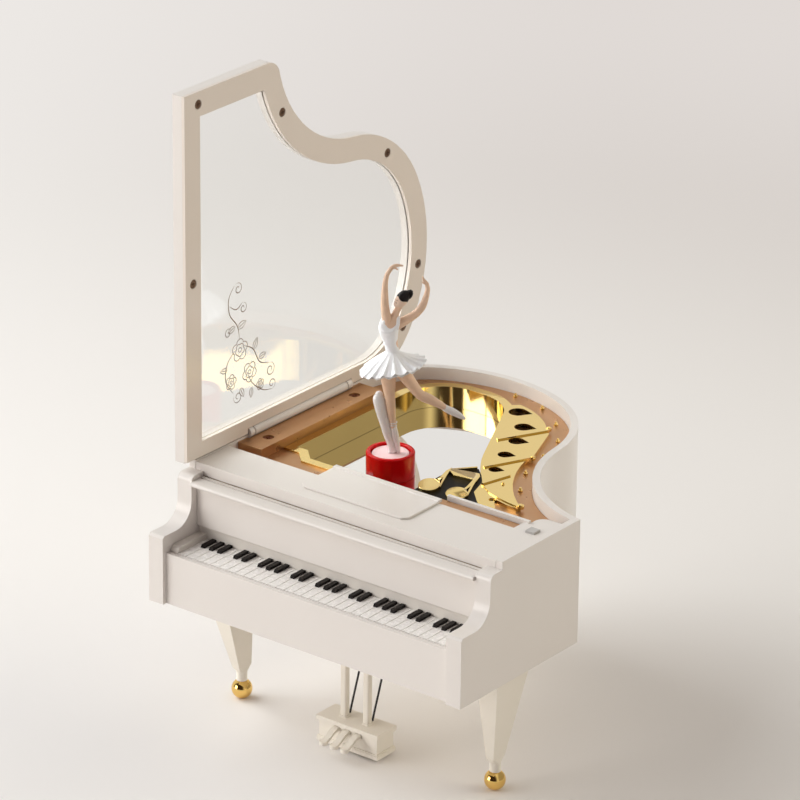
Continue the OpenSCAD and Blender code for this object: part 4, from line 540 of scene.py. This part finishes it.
def hair_cap():
    """Combed hair: the head's egg a little larger, cut off along a hairline that drops from the brow
    to the nape, with fine combing ridges that run up to the crown."""
    u = np.linspace(-1, 1, 49)[:, None]
    v = np.arange(144)[None, :] * 2 * np.pi / 144 - np.pi
    hairline = 0.62 - 1.32 * (1 - np.cos(v)) / 2 + 0.10 * np.cos(3 * v)
    up = hairline + (np.pi / 2 - hairline) * (u + 1) / 2
    lift = 1.085 - 0.10 * (1 - (u + 1) / 2) ** 6 + 0.008 * np.cos(36 * v) * np.cos(up)
    out = np.stack([HEAD_DEEP * lift * np.cos(up) * np.cos(v), HEAD_WIDE * lift * np.cos(up) * np.sin(v),
                    HEAD_TALL * lift * np.sin(up)], -1)
    inner = out[0] * 0.90
    shell = np.concatenate([inner[None] * 0.2, inner[None], out])
    return on_disc(face_frame(shell).reshape(-1, 3)), grid_faces(len(shell), 144, False, True)


def bun():
    """Coiled bun: a squashed ball whose radius swells in a spiral of strands."""
    u = np.linspace(-np.pi / 2, np.pi / 2, 33)[:, None]
    v = np.arange(72)[None, :] * 2 * np.pi / 72
    r = 1.85 * (1 + 0.045 * np.cos(5 * v + 7 * u))
    out = np.stack([-2.9 + 0.80 * r * np.sin(u) + 0 * v, r * np.cos(u) * np.cos(v),
                    0.95 + r * np.cos(u) * np.sin(v)], -1)
    return on_disc(face_frame(out).reshape(-1, 3)), grid_faces(33, 72, False, True)


place("dancer_locks", *merged([hair_cap(), bun()]), hair_paint, "figure", 70, ("dancer_hair",))


def bodice():
    """Leotard: ellipses about the leaning body, with soft creases that cross the waist, cut to a
    dipped neckline at the top."""
    rows = along_curve([(1.2, 0.0, 39.6, 4.1, 3.4), (0.8, 0.0, 41.6, 3.0, 2.5),
                        (0.2, 0.0, 43.6, 2.62, 2.15), (-0.5, -0.05, 46.2, 2.75, 2.25),
                        (-1.0, -0.15, 49.2, 3.45, 2.7), (-1.2, -0.3, 52.2, 4.0, 3.0),
                        (-0.8, -0.15, 54.4, 3.95, 2.7), (-0.2, 0.0, 56.6, 3.5, 2.3)], 72)
    v = np.arange(96) * 2 * np.pi / 96
    s = np.linspace(0, 1, 72)[:, None]
    crease = (1 + 0.028 * np.sin(5 * v + 16 * s) * np.exp(-((s - 0.25) / 0.22) ** 2)
              + 0.02 * np.cos(2 * (v + 1.9)) * np.exp(-((s - 0.72) / 0.2) ** 2))
    dip = np.clip(s - 0.62, 0, 1) / 0.38 * 3.6 * (0.5 + 0.5 * np.cos(2 * (v - np.pi / 2))) ** 1.4
    ring = np.stack([rows[:, 0:1] + rows[:, 3:4] * crease * np.cos(v),
                     rows[:, 1:2] + rows[:, 4:5] * crease * np.sin(v), rows[:, 2:3] - dip], -1)
    # the neckline turns in over its edge, and the inside is closed 14 rows below the top
    inner = ring[-1:] * np.array([0.93, 0.93, 1]) + np.array([0, 0, -0.5])
    floor, top = (np.repeat(rows[k][None, :3], 96, 0)[None] for k in (0, -14))
    ring = np.concatenate([floor, ring, inner, top])
    return on_disc(ring.reshape(-1, 3)), grid_faces(len(ring), 96, False, True)


straps = [limb([(-3.1, -1.3, 53.6, 0.7), (-2.7, -1.75, 55.6, 0.72), (-1.9, -1.1, 57.7, 0.7),
                (-1.4, 0.4, 57.8, 0.6), (-1.7, 1.7, 55.0, 0.6)], flat=0.6, count=40),
          limb([(2.0, -1.75, 52.6, 0.7), (2.4, -1.6, 54.8, 0.72), (2.4, -0.8, 56.6, 0.7),
                (2.2, 0.9, 56.4, 0.6), (1.8, 1.9, 54.2, 0.6)], flat=0.6, count=40)]
place("dancer_leotard", *merged([bodice()] + straps), dress_paint, "figure", 60, ("dancer_dress",))


WAIST = np.array([0.5, 0, 42.6])


def skirt_layer(waist_r, hem_r, drop, lift, folds, depth, phase, thick=0.3):
    """Stiff pleated skirt: radius grows from waist to hem, height falls along a curve, and pleats
    swing the height and the radius more and more towards the hem. The hem is tipped up on the raised
    leg's side, and a little in front."""
    s = np.linspace(0, 1, 30)[:, None]
    v = np.arange(folds * 16)[None, :] * 2 * np.pi / (folds * 16)
    swing = (0.72 * np.cos(folds * v + phase) + 0.28 * np.cos(2 * folds * v + 0.8)
             + 0.35 * np.sin(3 * v + 1.0))
    r = waist_r + (hem_r - waist_r) * s ** 0.92 + 0.35 * depth * swing * s
    z = -drop * s ** 0.86 + depth * swing * s ** 1.3
    x, y = r * np.cos(v), 0.9 * r * np.sin(v)
    z = z + lift * x * s + 0.10 * np.maximum(-y, 0) * s
    top = np.stack([x, y, z], -1) + WAIST
    under = np.stack([x * 0.995, y * 0.995, z - thick * (1.2 - 0.7 * s)], -1) + WAIST
    shell = np.concatenate([top, under[::-1]])
    return on_disc(shell.reshape(-1, 3)), grid_faces(len(shell), shell.shape[1], True, True)


upper_skirt = skirt_layer(2.5, 12.8, 6.9, 0.215, 17, 0.72, 0.3)
lower_skirt = skirt_layer(2.3, 11.2, 8.1, 0.19, 14, 0.5, 1.4)
place("dancer_skirt", *merged([upper_skirt, lower_skirt]), dress_paint, "figure", 60, ("dancer_tutu",))

support = limb([(-4.6, 0.4, 24.2, 1.5), (-4.7, 0.4, 22.4, 2.3), (-4.1, 0.3, 19.2, 2.3),
                (-3.2, 0.3, 15.4, 2.05), (-2.2, 0.2, 11.8, 1.95), (-1.0, 0.1, 7.4, 1.8),
                (0.3, 0, 3.4, 1.6), (0.8, 0, 1.2, 1.7)], flat=0.8, count=60)
standing_shoe = limb([(1.15, -0.05, 10.6, 1.22), (1.45, -0.05, 8.8, 1.36), (1.9, -0.05, 6.2, 1.38),
                      (2.45, -0.05, 3.4, 1.16), (2.85, -0.05, 1.4, 0.98), (3.0, -0.05, 0.45, 0.85)],
                     flat=0.9, count=40)
raised_shoe = limb([(20.4, 0.6, 19.0, 1.24), (21.6, 0.6, 18.2, 1.40), (24.0, 0.6, 17.0, 1.44),
                    (26.6, 0.6, 15.5, 1.12), (28.4, 0.6, 14.3, 0.62)], flat=0.9, count=40)
peg = turned([[0, -3.0], [0.98, -3.0], [0.98, 0.9], [0, 0.9]], (DRUM[0], DRUM[1], DISC_TOP), 32)


def ribbon(level, start, end):
    """A lace round the ankle: a helix that climbs 0.1 mm a radian from one angle to another, each level
    0.9 mm above the last."""
    a = np.linspace(start, end, 14)
    across, away = 0.95 + 0.03 * level + 1.28 * np.cos(a), 0.05 + 1.2 * np.sin(a)
    return limb(np.stack([across, away, 11.2 + 0.10 * a + 0.9 * level, np.full(14, 0.22)], 1), count=60)


ribbons = [ribbon(0, 0, 6.0), ribbon(1, 3.1, 9.1)]
place("dancer_shoes", *merged([support, standing_shoe, raised_shoe, peg] + ribbons), shoe_paint,
      "figure", 60, ("dancer_stand",))


# ---------------------------------------------------------------- printed spray on the lid's pane

PANE_X = -72.89     # the plane that the print lies on


def printed(path, wide=0.24, loop=False):
    """A flat line of print: an ellipse 0.05 mm deep carried along (back, up) points on the pane. An
    open line swells from nothing as the root of a half sine."""
    path = np.asarray(path, float)
    swell = np.ones(len(path)) if loop else np.sqrt(np.maximum(np.sin(np.linspace(0, np.pi, len(path))), 0))
    return tube(np.column_stack([np.full(len(path), PANE_X), path]), wide * swell + 1e-6,
                0.025 * swell + 1e-6, (1, 0, 0), 8, loop)


def stroke(knots, wide=0.24, count=48):
    """A printed line through a few points."""
    return printed(along_curve(knots, count), wide)


def curl(back, up, r, start, turns, wide=0.2):
    """A printed spiral: its radius shrinks evenly from r to a fifth while it turns."""
    t = np.linspace(0, 1, 56)
    a, q = np.radians(start) + 2 * np.pi * turns * t, r * (1 - 0.8 * t)
    return printed(np.stack([back + q * np.cos(a), up + q * np.sin(a)], 1), wide)


def blossom(back, up, r, turn=0.0, petals=5):
    """A printed flower: petals as the swell of a cosine round a ring, a smaller ring of them inside,
    turned by half a petal, and a round eye."""
    a = np.linspace(0, 2 * np.pi, 121)[:-1]
    rings = []
    for size, shift, share in ((1.0, 0.0, 0.30), (0.58, np.pi / petals, 0.22)):
        q = r * size * (1 - share + share * np.abs(np.cos(petals * (a - turn - shift) / 2)) ** 0.7)
        rings.append(printed(np.stack([back + q * np.cos(a), up + q * np.sin(a)], 1), 0.17, True))
    b = a[::5]
    rings.append(printed(np.stack([back + 0.2 * r * np.cos(b), up + 0.2 * r * np.sin(b)], 1), 0.15, True))
    return rings


def leaf(back, up, long, turn):
    """A printed leaf: two bowed edges that meet in a point, and a rib."""
    t = np.linspace(0, 1, 28)
    a = np.radians(turn)
    along, across = np.array([np.cos(a), np.sin(a)]), np.array([-np.sin(a), np.cos(a)])
    root = np.array([back, up])
    bow = 0.24 * long * np.sin(np.pi * t ** 0.85)
    return [printed(root + long * t[:, None] * along + way * bow[:, None] * across, 0.17)
            for way in (-1, 0, 1)]


spray = [stroke([(49.5, 168.5), (46.0, 163.5), (46.5, 157.0), (51.0, 151.0), (52.5, 144.5)]),
         stroke([(46.2, 160.5), (50.5, 158.0), (54.5, 160.0)], 0.2),
         stroke([(54.5, 142.0), (60.5, 138.5), (64.5, 132.0), (70.5, 129.5)]),
         stroke([(50.0, 141.5), (45.0, 137.0), (44.0, 130.0), (48.5, 123.5)]),
         stroke([(56.0, 131.5), (60.0, 124.5), (66.5, 119.5), (72.5, 118.0)], 0.2),
         curl(51.6, 166.2, 2.6, 130, -1.35), curl(54.6, 157.4, 2.3, 90, -1.3),
         curl(71.0, 126.6, 2.9, 95, -1.5), curl(51.2, 121.4, 2.7, 160, 1.4),
         curl(72.0, 120.4, 2.3, -80, 1.3), curl(45.5, 149.5, 2.2, 20, 1.25)]
spray += (blossom(52.6, 140.6, 4.6, 0.3) + blossom(58.4, 129.6, 4.2, 0.9) + blossom(47.2, 128.8, 3.1, 0.1)
          + blossom(64.8, 122.4, 2.3, 0.5))
spray += (leaf(51.2, 149.8, 5.6, 20) + leaf(49.8, 151.2, 4.8, 200) + leaf(60.8, 138.0, 5.2, 62)
          + leaf(45.0, 134.5, 4.4, 172) + leaf(52.6, 124.6, 4.8, -62) + leaf(64.0, 133.5, 4.6, 15)
          + leaf(59.5, 122.8, 4.4, -95))
place("lid_spray", *merged(spray), print_bronze, "lid", 60)


# ---------------------------------------------------------------- studio

# lengths in metres
TABLE_R = 3.2
TABLE_TURN = np.radians(37.6)               # so that the table's own depth runs away from the camera
# far out, the paper's left colour is painted lighter than its right: painted light from the window side
NEAR_PAPER, FAR_LEFT_PAINTED_LIGHT, FAR_RIGHT = (0.90, 0.865, 0.84), (0.86, 0.83, 0.80), (0.745, 0.70, 0.67)
PAPER_GLOW = 1.0
# each: the distance from the box, or the place across the table, where a change starts and ends
NEAR_TO_FAR, NO_GLOW_TO_GLOW, LEFT_TO_RIGHT = (0.26, 0.62), (0.30, 0.85), (-0.35, 0.12)
AIR, AIR_COLOUR = 0.22, (1.0, 0.93, 0.94)
ROOM, ROOM_SHOWN = (0.90, 0.875, 0.845), 0.9
# each: a way in the room, where its shade starts and where it is full, and the shade
DIM_SIDES = (((0.75, 0.62, 0.22), 0.45, 0.80, (0.40, 0.37, 0.33)),
             ((-0.05, -0.98, 0.18), 0.30, 0.72, (0.050, 0.036, 0.028)))


def seen_directly(tree):
    """1 for rays that show a thing itself, in the camera, in metal or through glass, and 0 for the
    light it gives."""
    rays = tree.nodes.new("ShaderNodeLightPath")
    total = rays.outputs["Is Camera Ray"]
    for ray in ("Is Glossy Ray", "Is Transmission Ray"):
        more = tree.nodes.new("ShaderNodeMath")
        more.operation = "MAXIMUM"
        tree.links.new(total, more.inputs[0])
        tree.links.new(rays.outputs[ray], more.inputs[1])
        total = more.outputs["Value"]
    return total


def ramp(tree, value, start, end):
    """0 at start and 1 at end, easing in and out."""
    step = tree.nodes.new("ShaderNodeMapRange")
    step.interpolation_type = "SMOOTHSTEP"
    step.inputs["From Min"].default_value = start
    step.inputs["From Max"].default_value = end
    tree.links.new(value, step.inputs["Value"])
    return step.outputs["Result"]


def blended(tree, amount, first, second):
    """Two colours, or the outputs that carry them, mixed by an amount."""
    mix = tree.nodes.new("ShaderNodeMix")
    mix.data_type = "RGBA"
    tree.links.new(amount, mix.inputs["Factor"])
    for socket, colour in (("A", first), ("B", second)):
        if isinstance(colour, tuple):
            mix.inputs[socket].default_value = (*colour, 1)
        else:
            tree.links.new(colour, mix.inputs[socket])
    return mix.outputs["Result"]


def studio_paper():
    """Pale paper: nearly white where the box stands, a soft grey further out. Far from the box it
    shows its own colour, so that metal and glass mirror a lit room, and there its left is painted lighter
    than its right: painted light from the window side."""
    material, tree, body, where = shader("studio_paper")
    body.inputs["Roughness"].default_value = 0.65
    split = tree.nodes.new("ShaderNodeSeparateXYZ")
    tree.links.new(where, split.inputs["Vector"])
    out_from_box = tree.nodes.new("ShaderNodeVectorMath")
    out_from_box.operation = "LENGTH"
    tree.links.new(where, out_from_box.inputs[0])
    further = ramp(tree, out_from_box.outputs["Value"], *NEAR_TO_FAR)
    # painted light: far out the paper is lighter towards the left, where the window lamp stands
    far = blended(tree, ramp(tree, split.outputs["X"], *LEFT_TO_RIGHT), FAR_LEFT_PAINTED_LIGHT, FAR_RIGHT)
    colour = blended(tree, further, NEAR_PAPER, far)
    tree.links.new(colour, body.inputs["Base Color"])
    glow = tree.nodes.new("ShaderNodeEmission")
    glow.inputs["Strength"].default_value = PAPER_GLOW
    tree.links.new(colour, glow.inputs["Color"])
    share = tree.nodes.new("ShaderNodeMath")
    share.operation = "MULTIPLY"
    tree.links.new(seen_directly(tree), share.inputs[0])
    tree.links.new(ramp(tree, out_from_box.outputs["Value"], *NO_GLOW_TO_GLOW), share.inputs[1])
    either = tree.nodes.new("ShaderNodeMixShader")
    tree.links.new(share.outputs["Value"], either.inputs["Fac"])
    tree.links.new(body.outputs["BSDF"], either.inputs[1])
    tree.links.new(glow.outputs["Emission"], either.inputs[2])
    out = next(n for n in tree.nodes if n.type == "OUTPUT_MATERIAL")
    tree.links.new(either.outputs["Shader"], out.inputs["Surface"])
    return material


def table():
    """The table: a flat round sheet, drawn as rings whose radius grows as the square of a step."""
    rings = TABLE_R * np.linspace(0, 1, 12) ** 2
    v = np.arange(96) * 2 * np.pi / 96
    points = np.stack([rings[:, None] * np.cos(v), rings[:, None] * np.sin(v), 0 * rings[:, None] * v],
                      -1).reshape(-1, 3)
    mesh = bpy.data.meshes.new("studio_table")
    mesh.from_pydata(points.tolist(), [], grid_faces(len(rings), len(v), False, True))
    work = bmesh.new()
    work.from_mesh(mesh)
    bmesh.ops.remove_doubles(work, verts=work.verts, dist=1e-6)
    work.to_mesh(mesh)
    work.free()
    sheet = bpy.data.objects.new("studio_table", mesh)
    sheet.rotation_euler = (0, 0, TABLE_TURN)
    bpy.context.scene.collection.objects.link(sheet)
    mesh.materials.append(studio_paper())


table()


def softbox(name, at, aim, size, power, colour=(1, 1, 1), in_metal=True):
    """A square area lamp at a place, facing another, in metres. One that stands behind a screen lights
    the box but isn't mirrored in its metal."""
    lamp = bpy.data.lights.new(name, "AREA")
    lamp.shape, lamp.size, lamp.energy, lamp.color = "SQUARE", size, power, colour
    holder = bpy.data.objects.new(name, lamp)
    at, aim = np.asarray(at, float), np.asarray(aim, float)
    back = (at - aim) / np.linalg.norm(at - aim)
    side = np.cross([0, 0, 1.0], back)
    side /= np.linalg.norm(side)
    up = np.cross(back, side)
    holder.matrix_world = Matrix([[side[i], up[i], back[i], at[i]] for i in range(3)] + [[0, 0, 0, 1]])
    holder.visible_glossy = in_metal
    bpy.context.scene.collection.objects.link(holder)


softbox("window", (-1.25, -0.35, 0.95), (0, 0, 0.08), 1.3, 24, (0.96, 1, 1), in_metal=False)
softbox("left_front", (-0.85, -1.35, 0.42), (0, 0, 0.1), 0.8, 9.2, (1, 0.97, 0.93))
softbox("back_right", (1.2, 1.05, 0.85), (0, 0, 0.1), 1.5, 15, (1, 0.955, 0.79), in_metal=False)


def studio_air():
    """The room: an even soft light on everything. In metal and glass it is bright above and behind,
    dimmer at the camera's right and dark in front of the keys."""
    world = bpy.data.worlds.new("studio_air")
    bpy.context.scene.world = world
    world.use_nodes = True
    tree = world.node_tree
    even = tree.nodes["Background"]
    even.inputs["Color"].default_value = (*AIR_COLOUR, 1)
    even.inputs["Strength"].default_value = AIR
    where = tree.nodes.new("ShaderNodeTexCoord")
    colour = ROOM
    for way, start, end, shade in DIM_SIDES:
        facing = tree.nodes.new("ShaderNodeVectorMath")
        facing.operation = "DOT_PRODUCT"
        facing.inputs[1].default_value = way
        tree.links.new(where.outputs["Generated"], facing.inputs[0])
        colour = blended(tree, ramp(tree, facing.outputs["Value"], start, end), colour, shade)
    shown = tree.nodes.new("ShaderNodeBackground")
    shown.inputs["Strength"].default_value = ROOM_SHOWN
    tree.links.new(colour, shown.inputs["Color"])
    either = tree.nodes.new("ShaderNodeMixShader")
    tree.links.new(seen_directly(tree), either.inputs["Fac"])
    tree.links.new(even.outputs["Background"], either.inputs[1])
    tree.links.new(shown.outputs["Background"], either.inputs[2])
    out = next(n for n in tree.nodes if n.type == "OUTPUT_WORLD")
    tree.links.new(either.outputs["Shader"], out.inputs["Surface"])


studio_air()

# ---------------------------------------------------------------- camera

AZIMUTH, ELEVATION, ROLL = np.radians([37.592, 23.035, 0.594])
back = np.array([np.sin(AZIMUTH) * np.cos(ELEVATION), -np.cos(AZIMUTH) * np.cos(ELEVATION),
                 np.sin(ELEVATION)])
right = np.cross(-back, [0, 0, 1.0])
right /= np.linalg.norm(right)
up = np.cross(right, -back)
tilted_right = np.cos(ROLL) * right + np.sin(ROLL) * up
tilted_up = -np.sin(ROLL) * right + np.cos(ROLL) * up
eye = to_row((1064.94, -1324.06, 879.30))
SENSOR, FOCAL_PIXELS, PICTURE_PIXELS = 36.0, 5020.14, 800       # the sensor in mm
lens = bpy.data.cameras.new("camera")
lens.sensor_width = SENSOR
lens.lens = SENSOR * FOCAL_PIXELS / PICTURE_PIXELS
lens.clip_start, lens.clip_end = 0.05, 20
camera = bpy.data.objects.new("camera", lens)
camera.matrix_world = Matrix([[tilted_right[i], tilted_up[i], back[i], eye[i]] for i in range(3)]
                             + [[0, 0, 0, 1]])
bpy.context.scene.collection.objects.link(camera)
bpy.context.scene.camera = camera
bpy.context.scene.view_settings.view_transform = "Standard"
